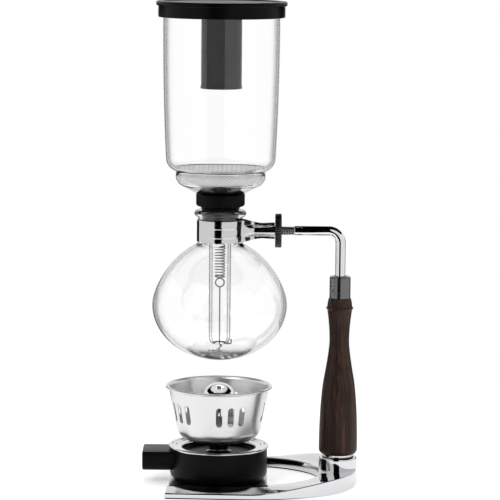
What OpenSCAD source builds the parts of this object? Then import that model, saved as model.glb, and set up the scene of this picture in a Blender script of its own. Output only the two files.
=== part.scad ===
// Siphon (vacuum) coffee maker on a horseshoe stand, with an alcohol burner.
// The origin is on the standing plane under the axis of the wooden handle. +Z is up and +X points
// from the glass towards the handle.

/* [Stand] */
// Distance from the handle's axis to the axis of the glass
reach = 89; // [84:0.5:96]
// Height of the base casting
base_h = 7; // [6:0.1:10]
// Width across the outside of the base
base_w = 132; // [126:1:140]
// Length from the tips of the arms to the handle end of the base
base_len = 141.5; // [138:0.5:150]
// Half length of the round end of the base, outside
round_out = 82; // [76:1:84]
// Half length of the round end of the base, inside
round_in = 60; // [56:1:62]
// Width of each arm in plan
arm_w = 15.5; // [14:0.5:18]
// Width of the flat on top of each arm
flat_w = 8.5; // [7:0.5:10]
// Height of the upright lip along the outside of the arms
lip_low = 2; // [1.2:0.1:3]
// Height of the outside wall at the handle end
lip_high = 10.7; // [9:0.1:12]
// How far the arms close towards their tips
arm_toe = 2.5; // [0:0.5:4]
// Slope of the arm tips, as a setback of the top edge
tip_rake = 2.8; // [0:0.2:4]
// Thickness of the anti-slip pad
pad_t = 1; // [0.6:0.1:2]
// How far the pad stays inside the casting's edge
pad_inset = 1.2; // [0.6:0.1:2]
// Diameter of the boss under the handle
boss_d = 28.5; // [27:0.1:32]
// Height of the boss above the arms
boss_h = 12.5; // [9:0.1:15]
// Height of the spigot between boss and wood
spigot_h = 1.3; // [0.8:0.1:2.5]
// Thickness of the sheet tray
tray_t = 1; // [0.8:0.1:1.5]
// Length of the tray along the arms
tray_len = 72.6; // [68:0.2:76]
// How far the tray reaches under each arm
tray_tuck = 8.5; // [7:0.5:10]
// Thread diameter of the tray screws
screw_d = 3; // [2.5:0.1:3.5]
// Length of the tray screws
screw_len = 4.5; // [4:0.5:6]

/* [Handle and arm] */
// Length of the wooden handle
handle_len = 117.2; // [105:0.1:125]
// Diameter of the handle near its foot
handle_d = 27.6; // [26:0.1:30]
// Diameter of the handle's waist
waist_d = 14.6; // [13:0.1:17]
// Diameter of the collar turned on the handle's head
collar_d = 20.2; // [19:0.1:22]
// Length of the ferrule
ferrule_len = 16.3; // [13:0.1:20]
// Diameter of the ferrule
ferrule_d = 15.6; // [14:0.1:17]
// Height of the arm's axis above the ferrule
arm_rise = 33.5; // [28:0.5:40]
// Diameter of the rod
rod_d = 7.5; // [6.8:0.1:8]
// Radius of the rod's bend, to its axis
bend_r = 8.5; // [7:0.1:12]
// Diameter of the threaded stud on the rod's end
stud_d = 6.6; // [6:0.1:6.7]
// Length of the stud
stud_len = 31.5; // [28:0.5:34]
// Distance from the axis of the glass to the middle of the thumb nut
nut_reach = 42.9; // [41:0.1:45]
// Length of bare thread between the nut and the rod
thread_len = 9; // [6:0.5:12]
// Diameter of the thumb nut
nut_d = 25; // [20:0.5:28]
// Thickness of the thumb nut
nut_t = 4.8; // [4:0.1:6]
// Number of grooves round the thumb nut
nut_grooves = 60; // [40:1:72]
// Thread diameter of the bolt in the foot of the rod
bolt_d = 4.9; // [4:0.1:5]

/* [Flask] */
// Diameter of the globe
globe_d = 100; // [94:0.5:106]
// Depth of the globe below its widest line
globe_low = 41; // [38:0.5:44]
// Drop from the clamp band's middle to the globe's widest line
globe_drop = 55.5; // [54:0.5:58]
// Wall of the glass
glass_t = 1.8; // [1.4:0.1:2]
// Outside diameter of the neck
neck_d = 32.8; // [32:0.1:34]
// Inside diameter of the mouth
mouth_d = 27.6; // [26.5:0.1:28]
// Outside diameter of the rolled lip
lip_d = 38.4; // [37:0.1:40]
// Height of the lip's top above the clamp band's middle
lip_rise = 15.1; // [14:0.1:17]

/* [Clamp band] */
// Height of the band
band_h = 15.8; // [14:0.1:17]
// Thickness of the strip
band_t = 0.8; // [0.6:0.1:1]
// Half height of the tails at their narrowest
tail_h = 5.6; // [5:0.1:7]
// How far the embossed ribs stand out
rib_out = 0.5; // [0.3:0.1:0.7]

/* [Upper chamber] */
// Diameter of the stopper
stopper_d = 36; // [33:0.5:38]
// Height of the stopper above the flask's lip
stopper_h = 12; // [10:0.5:15]
// How far the stopper reaches into the neck
plug_len = 20; // [16:0.5:24]
// Outside diameter of the stem
stem_d = 16.2; // [15:0.1:17]
// Length of the stem below the stopper's top
stem_len = 112; // [105:0.5:113]
// Outside diameter of the cup that holds the filter
cup_d = 66.4; // [64:0.2:70]
// Outside diameter of the barrel at the shoulder
barrel_low_d = 81; // [79:0.5:83]
// Outside diameter of the barrel at the rim
barrel_top_d = 85.8; // [84:0.2:88]
// Height of the chamber above the stopper
chamber_h = 137.8; // [125:0.5:150]
// Height of the shoulder's top above the stopper
shoulder_h = 26.2; // [25:0.2:30]

/* [Filter] */
// Diameter of the flat top of the filter
filter_top_d = 54.4; // [50:0.2:58]
// Thickness of the filter's cloth
cloth_t = 1; // [0.8:0.1:1.4]
// Thickness of the filter plate
plate_t = 1.6; // [1:0.1:2]
// Diameter of the spring
spring_d = 8; // [7:0.1:9]
// Diameter of the spring's wire
spring_wire_d = 0.8; // [0.6:0.1:0.9]
// Number of turns in the spring
spring_turns = 30; // [24:1:34]
// Height of the wire ring's middle above the stem's end
ring_rise = 45.5; // [35:0.5:50]
// Diameter of the hook's wire
hook_wire_d = 1; // [0.8:0.1:1.2]
// Diameter of the beads of the chain
bead_d = 2.4; // [2:0.1:2.6]

/* [Lid] */
// Height of the lid
lid_h = 11.7; // [10:0.1:14]
// Thickness of the lid's top
lid_t = 3; // [2.5:0.1:4]
// Wall of the lid's skirt
skirt_t = 2.7; // [2:0.1:3.5]
// How far the top flange stands out past the skirt
flange_out = 1.5; // [1:0.1:2.5]
// Outside diameter of the stand tube
tube_d = 30; // [28:0.5:34]
// Wall of the stand tube
tube_t = 1.5; // [1.2:0.1:2]
// Length of the stand tube
tube_len = 60.8; // [50:0.2:70]

/* [Burner] */
// Diameter of the burner's housing
housing_d = 72.6; // [70:0.1:74]
// Height of the housing
housing_h = 24.2; // [22:0.1:27]
// Wall of the housing
housing_t = 2.5; // [2:0.1:3]
// Radius of the housing's lower edge
housing_edge = 6; // [4:0.5:8]
// Reach of the pull tab from the burner's axis
tab_reach = 56.6; // [52:0.2:62]
// Width of the pull tab
tab_w = 30; // [24:1:34]
// Height of the pull tab
tab_h = 14.6; // [12:0.1:16]
// Depth of the tab's top below the housing's top
tab_drop = 2; // [0.5:0.1:4]
// Thickness of the pressed metal parts
sheet_t = 0.8; // [0.6:0.1:1]
// How far the ring on the tank's top stands out past the housing
ring_out = 1.1; // [0.4:0.1:1.4]
// Depth of the dish in the tank's top
dish_depth = 4.2; // [3:0.1:5]
// Diameter of the neck under the bowl
burner_neck_d = 13.8; // [12:0.2:16]
// Height of the bowl's seat above the housing
neck_rise = 5.5; // [4.5:0.1:7]
// Diameter of the seat that carries the bowl
seat_d = 34; // [30:0.5:38]
// Outside diameter of the wick tube
wick_tube_d = 9; // [8:0.1:10]
// Height of the wick tube's collar above the bowl's seat
collar_rise = 18.3; // [16.2:0.1:20]
// Length of the wick tube above its collar
wick_head = 6.3; // [4:0.1:9]

/* [Bowl and cap] */
// Diameter over the bowl's rolled rim
bowl_d = 79; // [75:0.5:82]
// Height of the bowl
bowl_h = 40.6; // [38:0.2:43]
// Diameter of the bowl where its wall meets the bottom corner
bowl_low_d = 63.3; // [61:0.1:66]
// Radius of the bowl's bottom corner
bowl_corner = 10; // [8:0.5:12]
// Diameter of the bowl's rolled bead
bead_rim_d = 2.1; // [1.8:0.1:2.5]
// Groups of slots round the bowl
slot_groups = 5; // [3:1:6]
// Slots in each group
slots_per_group = 3; // [2:1:4]
// Angle between the slots of a group
slot_pitch = 14.7; // [12:0.1:16]
// Width of a slot
slot_w = 4.6; // [3:0.1:5]
// Length of a slot
slot_len = 14.5; // [10:0.5:17]
// Height of the slots' lower ends above the bowl's bottom
slot_rise = 14.7; // [12:0.1:16]
// Diameter of the snuffer cap
cap_d = 26.5; // [24.5:0.1:28]
// Height of the cap's upright skirt
cap_skirt = 9.8; // [8:0.1:11]
// Wall of the cap
cap_t = 1; // [0.8:0.1:1.2]

/* [Clearances] */
// Gap at a seat between pieces that come apart
seat_gap = 0.3; // [0.2:0.05:0.4]
// Radial gap round the stud in the thumb nut
nut_gap = 0.05; // [0.03:0.01:0.08]
// Radial gap of close fits inside the stand
fit_gap = 0.05; // [0.03:0.01:0.1]

/* [Hidden] */
$fn = 96;

// Colours
chrome = [0.80, 0.80, 0.81];
steel = [0.72, 0.72, 0.71];
dark_steel = [0.33, 0.33, 0.34];
black_plastic = [0.07, 0.07, 0.07];
tube_grey = [0.25, 0.25, 0.26];
wenge = [0.22, 0.15, 0.12];
clear_glass = [0.88, 0.92, 0.93, 0.35];
black_rubber = [0.05, 0.05, 0.05];
cotton = [0.80, 0.79, 0.77];
brass = [0.75, 0.62, 0.35];

// Heights of the stand, each from the piece below it
base_z = pad_t;
base_top = base_z + base_h;
boss_top = base_top + boss_h;
handle_z = boss_top + spigot_h;
ferrule_z = handle_z + handle_len;
rod_z = ferrule_z + ferrule_len;
arm_z = rod_z + arm_rise;

// Plan of the base
pot_x = -reach;
base_right = (boss_d - 1.5) / 2;
tip_x = base_right - base_len;
half_out = base_w / 2;
half_in = half_out - arm_w;
centre_out = base_right - round_out;
inner_right = -boss_d / 2 + 1.3;
centre_in = inner_right - round_in;
edge_break = 0.7;
arm_steps = 6;
end_steps = 44;
tray_top = base_z + tray_t;
tray_half = half_in + tray_tuck;
screw_x = tray_len / 2 - 8;
screw_y = tray_half - 4;
screw_head_d = screw_d * 1.8;
screw_head_h = screw_d * 0.3;

// Foot of the rod and its bolt
rod_foot = boss_top - 8.5;
well_d = 12.6;
washer_t = 1;
washer_d = well_d - 0.6;
head_h = 3.2;
head_d = 9;
well_z = base_z + 0.5 + head_h + washer_t;
bolt_grip = 9;

// The stud, from the rod's end towards the glass
nut_x = pot_x + nut_reach;
stud_root = nut_x + nut_t / 2 + thread_len;

// Flask
globe_z = arm_z - globe_drop;
globe_r = globe_d / 2;
neck_r = neck_d / 2;
mouth_r = mouth_d / 2;
lip_top = arm_z + lip_rise;
crown_base = 32;
crown_rise = 17.3;
neck_blend = 2.2;

// Clamp band, in its own frame on the glass axis
ring_in = neck_r + 0.2;
ring_angle = 28;
ring_steps = 38;
tail_end = nut_x - pot_x - nut_t / 2 - seat_gap;
tail_bore = stud_d / 2 + seat_gap + 0.05;
flange_gap = 0.5;
tail_steps = 9;
band_across = 12;

// Upper chamber, from the lip upwards
stop_z = lip_top + seat_gap;
stop_top = stop_z + stopper_h;
stem_r = stem_d / 2;
stem_bore = stem_r - glass_t;
stem_z = stop_top - stem_len;
stem_fillet = 2;
cup_r = cup_d / 2;
cup_corner = 8;
cup_slope = 28;
cup_flat = stopper_d / 2;
cup_low_r = cup_r - cup_corner + cup_corner * sin(cup_slope);
cup_z = stop_top + (cup_low_r - cup_flat) * tan(cup_slope) + cup_corner * cos(cup_slope);
shoulder_z = stop_top + shoulder_h;
barrel_low = barrel_low_d / 2;
shoulder_share = 0.73;
shoulder_r = (barrel_low - cup_r) / shoulder_share;
barrel_top = barrel_top_d / 2;
rim_z = stop_top + chamber_h;

// Filter, in the cup
cloth_r = cup_r - glass_t - seat_gap;
cloth_foot = stop_top + glass_t + 2.6;
cloth_top = cup_z + 4.8;
plate_z = cup_z - 1.5;
plate_r = cloth_r - cloth_t - 2.6;
knob_r = stem_bore - 1.1;
shank_r = spring_d / 2 - spring_wire_d - 0.4;
spring_top = stop_top - 3;
ring_r = 3.2;
ring_z = stem_z + ring_rise;
spring_foot = ring_z + ring_r + hook_wire_d / 2 + seat_gap;
hook_z = stem_z - hook_wire_d / 2 - 0.1;
hook_x = stem_r + 0.6;

// Lid
ceiling_z = rim_z + seat_gap;
lid_top = ceiling_z + lid_t;
lid_foot = lid_top - lid_h;
skirt_in = barrel_top + 0.9;
skirt_out = skirt_in + skirt_t;
flange_r = skirt_out + flange_out;
tube_r = tube_d / 2;

// Burner, from the tray upwards
housing_z = tray_top + seat_gap;
housing_r = housing_d / 2;
housing_top = housing_z + housing_h;
dish_z = housing_top - dish_depth;
tank_r = housing_r - housing_t - fit_gap;
tank_z = housing_z + housing_t;
tank_top_z = dish_z - sheet_t;
dish_r = 27;
burner_seat = housing_top + neck_rise;
wick_tube_r = wick_tube_d / 2;
wick_r = wick_tube_r - 1.2;
collar_z = burner_seat + collar_rise;
collar_t = 1;
collar_r = cap_d / 2 - cap_t - 0.4;
tab_z = housing_top - tab_drop - tab_h;

// Bowl and cap
bowl_z = burner_seat + seat_gap;
bowl_top = bowl_z + bowl_h;
bowl_hole = collar_r + 0.6;
bead_rim = bead_rim_d / 2;
bowl_wall_top = bowl_d / 2 - 2.3;
bowl_low = bowl_low_d / 2;
first_group = 12.8;
cap_z = collar_z + collar_t + seat_gap;
cap_r = cap_d / 2;

// Points of an arc round c, from angle a0 to a1
function arc(c, r, a0, a1, n) = [for (i = [0:n])
    let(a = mix(a0, a1, i / n))
    c + r * [cos(a), sin(a)]];

// Points of the smooth curve from p0 to p2 that p1 pulls towards itself
function bend(p0, p1, p2, n) = [for (i = [0:n])
    let(t = i / n)
    (1 - t) * (1 - t) * p0 + 2 * t * (1 - t) * p1 + t * t * p2];

// 0 to 1 with a soft start and end
function ease(t) = (1 - cos(180 * max(0, min(1, t)))) / 2;

// The points of a list in reverse order
function flip(list) = [for (i = [len(list) - 1:-1:0]) list[i]];

// A number between a and b
function mix(a, b, t) = a + (b - a) * t;

// Solid through a row of closed sections with equally many points, each seen anticlockwise along the row
module loft(rings) {
    n = len(rings[0]);
    m = len(rings);
    points = [for (ring = rings) for (p = ring) p];
    sides = [for (k = [0:m - 2]) for (i = [0:n - 1]) for (half = [0, 1])
        let(a = k * n + i, b = k * n + (i + 1) % n)
        half == 0 ? [a, b, b + n] : [a, b + n, a + n]];
    first = [for (i = [1:n - 2]) [0, i + 1, i]];
    last = [for (i = [1:n - 2]) [(m - 1) * n, (m - 1) * n + i, (m - 1) * n + i + 1]];
    polyhedron(points = points, faces = concat(sides, first, last), convexity = 6);
}

// Sheet between two grids of points, inner[i][j] and outer[i][j]
module sheet(inner, outer) {
    m = len(inner);
    n = len(inner[0]);
    points = concat([for (row = inner) for (p = row) p], [for (row = outer) for (p = row) p]);
    shift = m * n;
    skins = [for (i = [0:m - 2]) for (j = [0:n - 2]) for (skin = [0, 1]) for (half = [0, 1])
        let(a = i * n + j + skin * shift, b = a + 1, c = a + n, d = c + 1,
            face = half == 0 ? [a, c, d] : [a, d, b])
        skin == 1 ? face : flip(face)];
    ends = [for (j = [0:n - 2]) for (end = [0, m - 1]) for (half = [0, 1])
        let(a = end * n + j, b = a + 1, c = a + shift, d = b + shift,
            face = half == 0 ? [a, c, d] : [a, d, b])
        end == 0 ? face : flip(face)];
    edges = [for (i = [0:m - 2]) for (edge = [0, n - 1]) for (half = [0, 1])
        let(a = i * n + edge, b = a + n, c = a + shift, d = b + shift,
            face = half == 0 ? [a, b, d] : [a, d, c])
        edge == 0 ? face : flip(face)];
    polyhedron(points = points, faces = concat(skins, ends, edges), convexity = 8);
}

// Round bar between two points
module bar(p, q, r) {
    v = q - p;
    translate(p) rotate([0, acos(v.z / norm(v)), atan2(v.y, v.x)]) cylinder(h = norm(v), r = r);
}

// Everything inside stands on the axis of the glass
module on_glass() {
    translate([pot_x, 0, 0]) children();
}

// ---- Stand ----

// Outline of the base at station q: |q| <= 1 is the round end, and 1 to 2 is an arm
function outline(q, centre, half_len, half_w) = abs(q) <= 1
    ? [centre + half_len * cos(90 * q), half_w * sin(90 * q)]
    : let(w = abs(q) - 1) [mix(centre, tip_x, w), sign(q) * (half_w - arm_toe * w)];

// Height of the outer edge: low along the arms and rising to the handle end
function ridge(x) = base_z + mix(lip_low, lip_high, ease((x - centre_out - 2.5) / (round_out - 12)));

// Stations from the tip of one arm round to the tip of the other
stations = concat(
    [for (i = [0:arm_steps - 1]) -2 + i / arm_steps],
    [for (i = [0:end_steps]) -1 + 2 * i / end_steps],
    [for (i = [1:arm_steps]) 1 + i / arm_steps]
);

// Section of the casting at station q, from the inner edge to the outer one
function casting(q) =
    let(inner = outline(q, centre_in, round_in, half_in),
        outer = outline(q, centre_out, round_out, half_out),
        width = norm(outer - inner),
        across = (outer - inner) / width,
        crest = ridge(outer.x),
        slope = (base_top - crest) / (width - flat_w),
        profile = [
            [0.4, base_z], [0, base_z + 0.4], [0, base_top - edge_break], [edge_break, base_top],
            [flat_w, base_top], [width - edge_break, crest + slope * edge_break],
            [width, crest - edge_break], [width, base_z + 0.4], [width - 0.4, base_z]
        ],
        raked = max(0, abs(q) - 2 + 1 / arm_steps) * arm_steps)
    [for (p = profile)
        let(flat = inner + p.x * across, setback = raked * tip_rake * (p.y - base_z) / base_h)
        [flat.x + setback, flat.y, p.y]];

module base_frame() color(chrome) {
    boss = concat(
        [[0, base_z], [boss_d / 2, base_z]],
        arc([boss_d / 2 - 2.4, boss_top - 2.4], 2.4, 0, 90, 6),
        [[boss_d / 2 - 3.4, boss_top], [boss_d / 2 - 3.4, handle_z], [0, handle_z]]
    );
    difference() {
        union() {
            loft([for (q = stations) flip(casting(q))]);
            rotate_extrude() polygon(boss);
        }
        translate([0, 0, rod_foot]) cylinder(h = handle_z, d = rod_d + 2 * fit_gap);
        translate([0, 0, base_z - 1]) cylinder(h = rod_foot, d = bolt_d + 0.5);
        translate([0, 0, base_z - 1]) cylinder(h = well_z - base_z + 1, d = well_d);
        translate([pot_x - tray_len / 2 - 0.3, -tray_half - 0.3, base_z - 1])
            cube([tray_len + 0.6, 2 * tray_half + 0.6, tray_t + 1.1]);
        tray_screw_places() cylinder(h = base_z + tray_t + screw_len, d = screw_d + 2 * fit_gap);
    }
}

// Outline of the pad at station q, a little inside the casting on both sides
function pad_edge(q, side) =
    let(inner = outline(q, centre_in, round_in, half_in),
        outer = outline(q, centre_out, round_out, half_out),
        across = (outer - inner) / norm(outer - inner),
        tip = abs(q) == 2 ? pad_inset : 0)
    (side == 0 ? inner + pad_inset * across : outer - pad_inset * across) + [tip, 0];

module base_pad() color(black_rubber) {
    ring = concat([for (q = stations) pad_edge(q, 1)], flip([for (q = stations) pad_edge(q, 0)]));
    linear_extrude(pad_t) polygon(ring);
}

module tray_screw_places() {
    for (sx = [-1, 1]) for (sy = [-1, 1])
        translate([pot_x + sx * screw_x, sy * screw_y, 0]) children();
}

module base_tray() color(steel) {
    difference() {
        translate([pot_x - tray_len / 2, -tray_half, base_z]) cube([tray_len, 2 * tray_half, tray_t]);
        tray_screw_places() {
            cylinder(h = base_z + tray_t + 1, d = screw_d + 2 * fit_gap);
            translate([0, 0, base_z - 0.1]) cylinder(h = screw_head_h + 0.15, d = screw_head_d + 0.2);
        }
    }
}

module tray_screws() color(dark_steel) {
    tray_screw_places() {
        translate([0, 0, base_z]) cylinder(h = screw_len, d = screw_d);
        translate([0, 0, base_z]) cylinder(h = screw_head_h, d = screw_head_d);
    }
}

module base_bolt() color(dark_steel) {
    difference() {
        union() {
            translate([0, 0, well_z - washer_t - head_h]) cylinder(h = head_h, d = head_d);
            translate([0, 0, well_z - washer_t])
                cylinder(h = rod_foot - well_z + washer_t + bolt_grip, d = bolt_d);
        }
        translate([0, 0, well_z - washer_t - head_h - 0.5]) cylinder(h = 2.3, d = 4, $fn = 6);
    }
}

module base_washer() color(steel) {
    translate([0, 0, well_z - washer_t]) difference() {
        cylinder(h = washer_t, d = washer_d);
        translate([0, 0, -1]) cylinder(h = washer_t + 2, d = bolt_d + 0.4);
    }
}

// Turned profile of the handle, as [radius, height] from its foot
module wooden_handle() color(wenge) {
    r = handle_d / 2;
    k = handle_len / 114.9;
    neck = ferrule_d / 2;
    profile = concat(
        [[boss_d / 2 - 4.4, 0]],
        arc([r - 3.9, 3.7], 3.7, -90, 0, 6),
        bend([r, 8 * k], [r, 34 * k], [r - 2.4, 54 * k], 6),
        bend([r - 2.7, 56 * k], [waist_d / 2 + 0.1, 76 * k], [waist_d / 2, 83.3 * k], 8),
        bend([waist_d / 2, 84 * k], [waist_d / 2, 94 * k], [collar_d / 2 - 0.9, 106.4 * k], 8),
        arc([collar_d / 2 - 0.7, 107.6 * k], 0.7, -60, 60, 4),
        [[neck + 1.5, 108.6 * k], [neck + 1.2, 111 * k]],
        bend([neck + 1.1, 112 * k], [neck + 0.6, 114.4 * k], [neck + 0.2, handle_len], 3)
    );
    translate([0, 0, handle_z]) difference() {
        rotate_extrude() polygon(concat([[0, 0]], profile, [[0, handle_len]]));
        translate([0, 0, -1]) cylinder(h = handle_len + 2, d = rod_d + 2 * fit_gap);
    }
}

module ferrule() color(dark_steel) {
    r = ferrule_d / 2;
    profile = [
        [rod_d / 2 + fit_gap, 0], [r, 0], [r, ferrule_len - 1.2], [r - 1.2, ferrule_len],
        [rod_d / 2 + 1.4, ferrule_len], [rod_d / 2 + fit_gap, ferrule_len - 1]
    ];
    translate([0, 0, ferrule_z]) rotate_extrude() polygon(profile);
}

module support_arm() color(chrome) {
    difference() {
        union() {
            translate([0, 0, rod_foot]) cylinder(h = arm_z - bend_r - rod_foot, d = rod_d);
            translate([-bend_r, 0, arm_z - bend_r]) rotate([90, 0, 0])
                rotate_extrude(angle = 90) translate([bend_r, 0]) circle(d = rod_d);
            translate([-bend_r, 0, arm_z]) rotate([0, -90, 0]) {
                cylinder(h = -stud_root - bend_r - 0.8, d = rod_d);
                translate([0, 0, -stud_root - bend_r - 0.8]) cylinder(h = 0.8, d1 = rod_d, d2 = stud_d);
            }
            translate([stud_root, 0, arm_z]) rotate([0, -90, 0]) {
                cylinder(h = stud_len - 1, d = stud_d);
                translate([0, 0, stud_len - 1]) cylinder(h = 1, d1 = stud_d, d2 = stud_d - 2);
            }
        }
        translate([0, 0, rod_foot - 1]) cylinder(h = bolt_grip + 2, d = bolt_d + 2 * fit_gap);
    }
}

module thumb_nut() color(dark_steel) {
    r = nut_d / 2;
    half = nut_t / 2;
    profile = [
        [stud_d / 2 + nut_gap, -half], [r - 0.8, -half], [r, -half + 0.6], [r, half - 0.6],
        [r - 0.8, half], [stud_d / 2 + nut_gap, half]
    ];
    translate([nut_x, 0, arm_z]) rotate([0, 90, 0]) difference() {
        rotate_extrude() polygon(profile);
        for (i = [0:nut_grooves - 1]) rotate([0, 0, i * 360 / nut_grooves])
            translate([r + 0.15, 0, -half - 1]) cylinder(h = nut_t + 2, r = 0.42, $fn = 16);
    }
}

// ---- Flask ----

// Point of the globe's profile at angle a, with the surface moved in by the wall
function globe_point(a, wall) =
    let(up = sin(a), depth = up < 0 ? globe_low : crown_base + crown_rise * up)
    [(globe_r - wall) * cos(a), globe_z + (depth - wall) * up];

// Profile from the bottom of the globe into a neck of radius r
function globe_side(wall, r, n) =
    let(a1 = acos((r + neck_blend) / (globe_r - wall)), end = globe_point(a1, wall))
    concat(
        [for (i = [0:n]) globe_point(mix(-90, a1, i / n), wall)],
        bend(end, [r, end.y + 1.1], [r, end.y + 3.6], 4)
    );

module flask_glass() color(clear_glass) on_glass() {
    roll = 2.4;
    lip_c = [lip_d / 2 - roll, lip_top - roll];
    outer = concat(
        globe_side(0, neck_r, 34),
        [[neck_r, lip_c.y - 2.4]],
        arc(lip_c, roll, -60, 90, 8)
    );
    inner = concat(
        globe_side(glass_t, mouth_r, 34),
        [[mouth_r, lip_top - 1]],
        arc([mouth_r + 0.9, lip_top - 0.9], 0.9, 180, 90, 3)
    );
    rotate_extrude() polygon(concat(outer, flip(inner)));
}

// Half height of the tails at share w of their length
function tail_half(w) = mix(mix(band_h / 2, tail_h, ease(w * 1.5)), tail_h + 0.4, ease((w - 0.55) * 2.2));

// Point of one tail: share w along it, height share v, and a half tube of radius r with flanges at flange_y
function tail_point(w, v, side, ring_r, r, flange_y) =
    let(z = v * tail_half(w),
        cheek = max(flange_y, sqrt(max(0, r * r - z * z))),
        root = ring_r * sin(ring_angle),
        x0 = ring_r * cos(ring_angle))
    [mix(x0, tail_end, w), side * mix(root, cheek, ease(w * 2.2 + 0.12)), arm_z + z];

// Point of the ring at angle a, with two embossed ribs across the front
function ring_point(a, v, r, rib) =
    let(front = ease((52 - abs(a + 90)) / 12), wave = ease(1 - abs(abs(v) - 0.42) / 0.16))
    [(r + rib * front * wave) * cos(a), (r + rib * front * wave) * sin(a), arm_z + v * band_h / 2];

// One skin of the band from the front tail's end round the neck to the back tail's end
function band_skin(ring_r, r, flange_y, rib) = concat(
    [for (i = [tail_steps:-1:1]) [for (j = [0:band_across])
        tail_point(i / tail_steps, 2 * j / band_across - 1, -1, ring_r, r, flange_y)]],
    [for (i = [0:ring_steps]) let(angle = -ring_angle - (360 - 2 * ring_angle) * i / ring_steps)
        [for (j = [0:band_across]) ring_point(angle, 2 * j / band_across - 1, ring_r, rib)]],
    [for (i = [1:tail_steps]) [for (j = [0:band_across])
        tail_point(i / tail_steps, 2 * j / band_across - 1, 1, ring_r, r, flange_y)]]
);

module clamp_band() color(chrome) on_glass() {
    sheet(
        band_skin(ring_in, tail_bore, flange_gap, rib_out),
        band_skin(ring_in + band_t, tail_bore + band_t, flange_gap + band_t, rib_out)
    );
}

// ---- Upper chamber ----

// Radius of the barrel's outside at height z
function barrel_radius(z) =
    barrel_top - (barrel_top - barrel_low) * pow(max(0, 1 - (z - shoulder_z) / (rim_z - shoulder_z)), 2.5);

// Side of the chamber from the stem's fillet to the rim, moved in by the wall
function chamber_side(wall) = concat(
    arc([stem_r + stem_fillet, stop_top - stem_fillet], stem_fillet + wall, 180, 90, 5),
    [[cup_flat - wall * tan(cup_slope / 2), stop_top + wall]],
    arc([cup_r - cup_corner, cup_z], cup_corner - wall, cup_slope - 90, 0, 8),
    [[cup_r - wall, shoulder_z - shoulder_r * 0.98 + wall * 0.9]],
    arc([barrel_low - shoulder_r, shoulder_z], shoulder_r - wall, -68, 0, 8),
    [for (i = [1:9]) let(z = mix(shoulder_z, rim_z - glass_t / 2, i / 9)) [barrel_radius(z) - wall, z]]
);

module upper_chamber() color(clear_glass) on_glass() {
    tip = 1.8;
    outer = concat(
        [[stem_r - tip, stem_z], [stem_r - 0.5, stem_z + 2.2], [stem_r, stem_z + 4.5]],
        chamber_side(0)
    );
    inner = concat(
        [[stem_bore - tip, stem_z], [stem_bore - 0.5, stem_z + 2.6], [stem_bore, stem_z + 4.9]],
        chamber_side(glass_t)
    );
    rim = arc([barrel_top - glass_t / 2, rim_z - glass_t / 2], glass_t / 2, 30, 150, 4);
    rotate_extrude() polygon(concat(outer, rim, flip(inner)));
}

module rubber_stopper() color(black_rubber) on_glass() {
    r = stopper_d / 2;
    plug_r = mouth_r - seat_gap;
    bore = stem_r + fit_gap;
    profile = [
        [bore, stop_z - plug_len], [plug_r - 1.1, stop_z - plug_len], [plug_r - 0.9, stop_z - plug_len + 0.6],
        [plug_r, stop_z - 0.4], [plug_r + 0.3, stop_z], [plug_r + 1.1, stop_z + 1.6], [r - 1.8, stop_z + 2.6],
        [r - 0.6, stop_z + 3.4], [r, stop_z + 4.1], [r, stop_top - 0.7], [r - 0.6, stop_top],
        [stem_r + stem_fillet + 0.4, stop_top], [bore, stop_top - stem_fillet - 0.4]
    ];
    rotate_extrude() polygon(profile);
}

// Ring above, a straight wire down the stem, and a hook round the stem's end
module hook_wire() color(steel) on_glass() {
    r = hook_wire_d / 2;
    turn = 1.2;
    translate([0, 0, ring_z]) rotate([90, 0, 0])
        rotate_extrude() translate([ring_r, 0]) circle(r = r, $fn = 24);
    translate([0, 0, hook_z + turn]) cylinder(h = ring_z - ring_r - hook_z - turn, r = r, $fn = 24);
    translate([turn, 0, hook_z + turn]) rotate([90, 0, 0]) rotate([0, 0, 180])
        rotate_extrude(angle = 90) translate([turn, 0]) circle(r = r, $fn = 24);
    translate([turn, 0, hook_z]) rotate([0, 90, 0]) cylinder(h = hook_x - 2 * turn, r = r, $fn = 24);
    translate([hook_x - turn, 0, hook_z + turn]) rotate([90, 0, 0]) rotate([0, 0, 270])
        rotate_extrude(angle = 90) translate([turn, 0]) circle(r = r, $fn = 24);
    translate([hook_x, 0, hook_z + turn]) cylinder(h = 2.4, r = r, $fn = 24);
}

// Places of the beads from the hook down to the bottom of the flask
beads = [
    [1, -1, -1.6], [-0.6, -1.6, -4.2], [-3.2, -2, -6], [-6.2, -2.2, -6.4], [-8.6, -0.4, -6.2],
    [-7.8, 2.4, -6.3], [-5, 3.6, -6.5], [-2, 3.2, -6.7], [0.6, 1.6, -6.8], [3, 0, -6.7]
];

module bead_chain() color(steel) on_glass() {
    places = [for (p = beads) [p.x, p.y, hook_z + p.z]];
    for (p = places) translate(p) sphere(d = bead_d);
    for (i = [0:len(places) - 2]) bar(places[i], places[i + 1], 0.4);
    bar([1.2, -0.45, hook_z - 0.85], places[0], 0.4);
}

// ---- Filter ----

module filter_plate() color(steel) on_glass() {
    translate([0, 0, plate_z]) difference() {
        cylinder(h = plate_t, r = plate_r);
        for (ring = [1:3]) for (i = [0:6 * ring - 1]) rotate([0, 0, i * 60 / ring])
            translate([ring * plate_r / 3.6, 0, -1]) cylinder(h = plate_t + 2, r = 1.6);
    }
}

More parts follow.
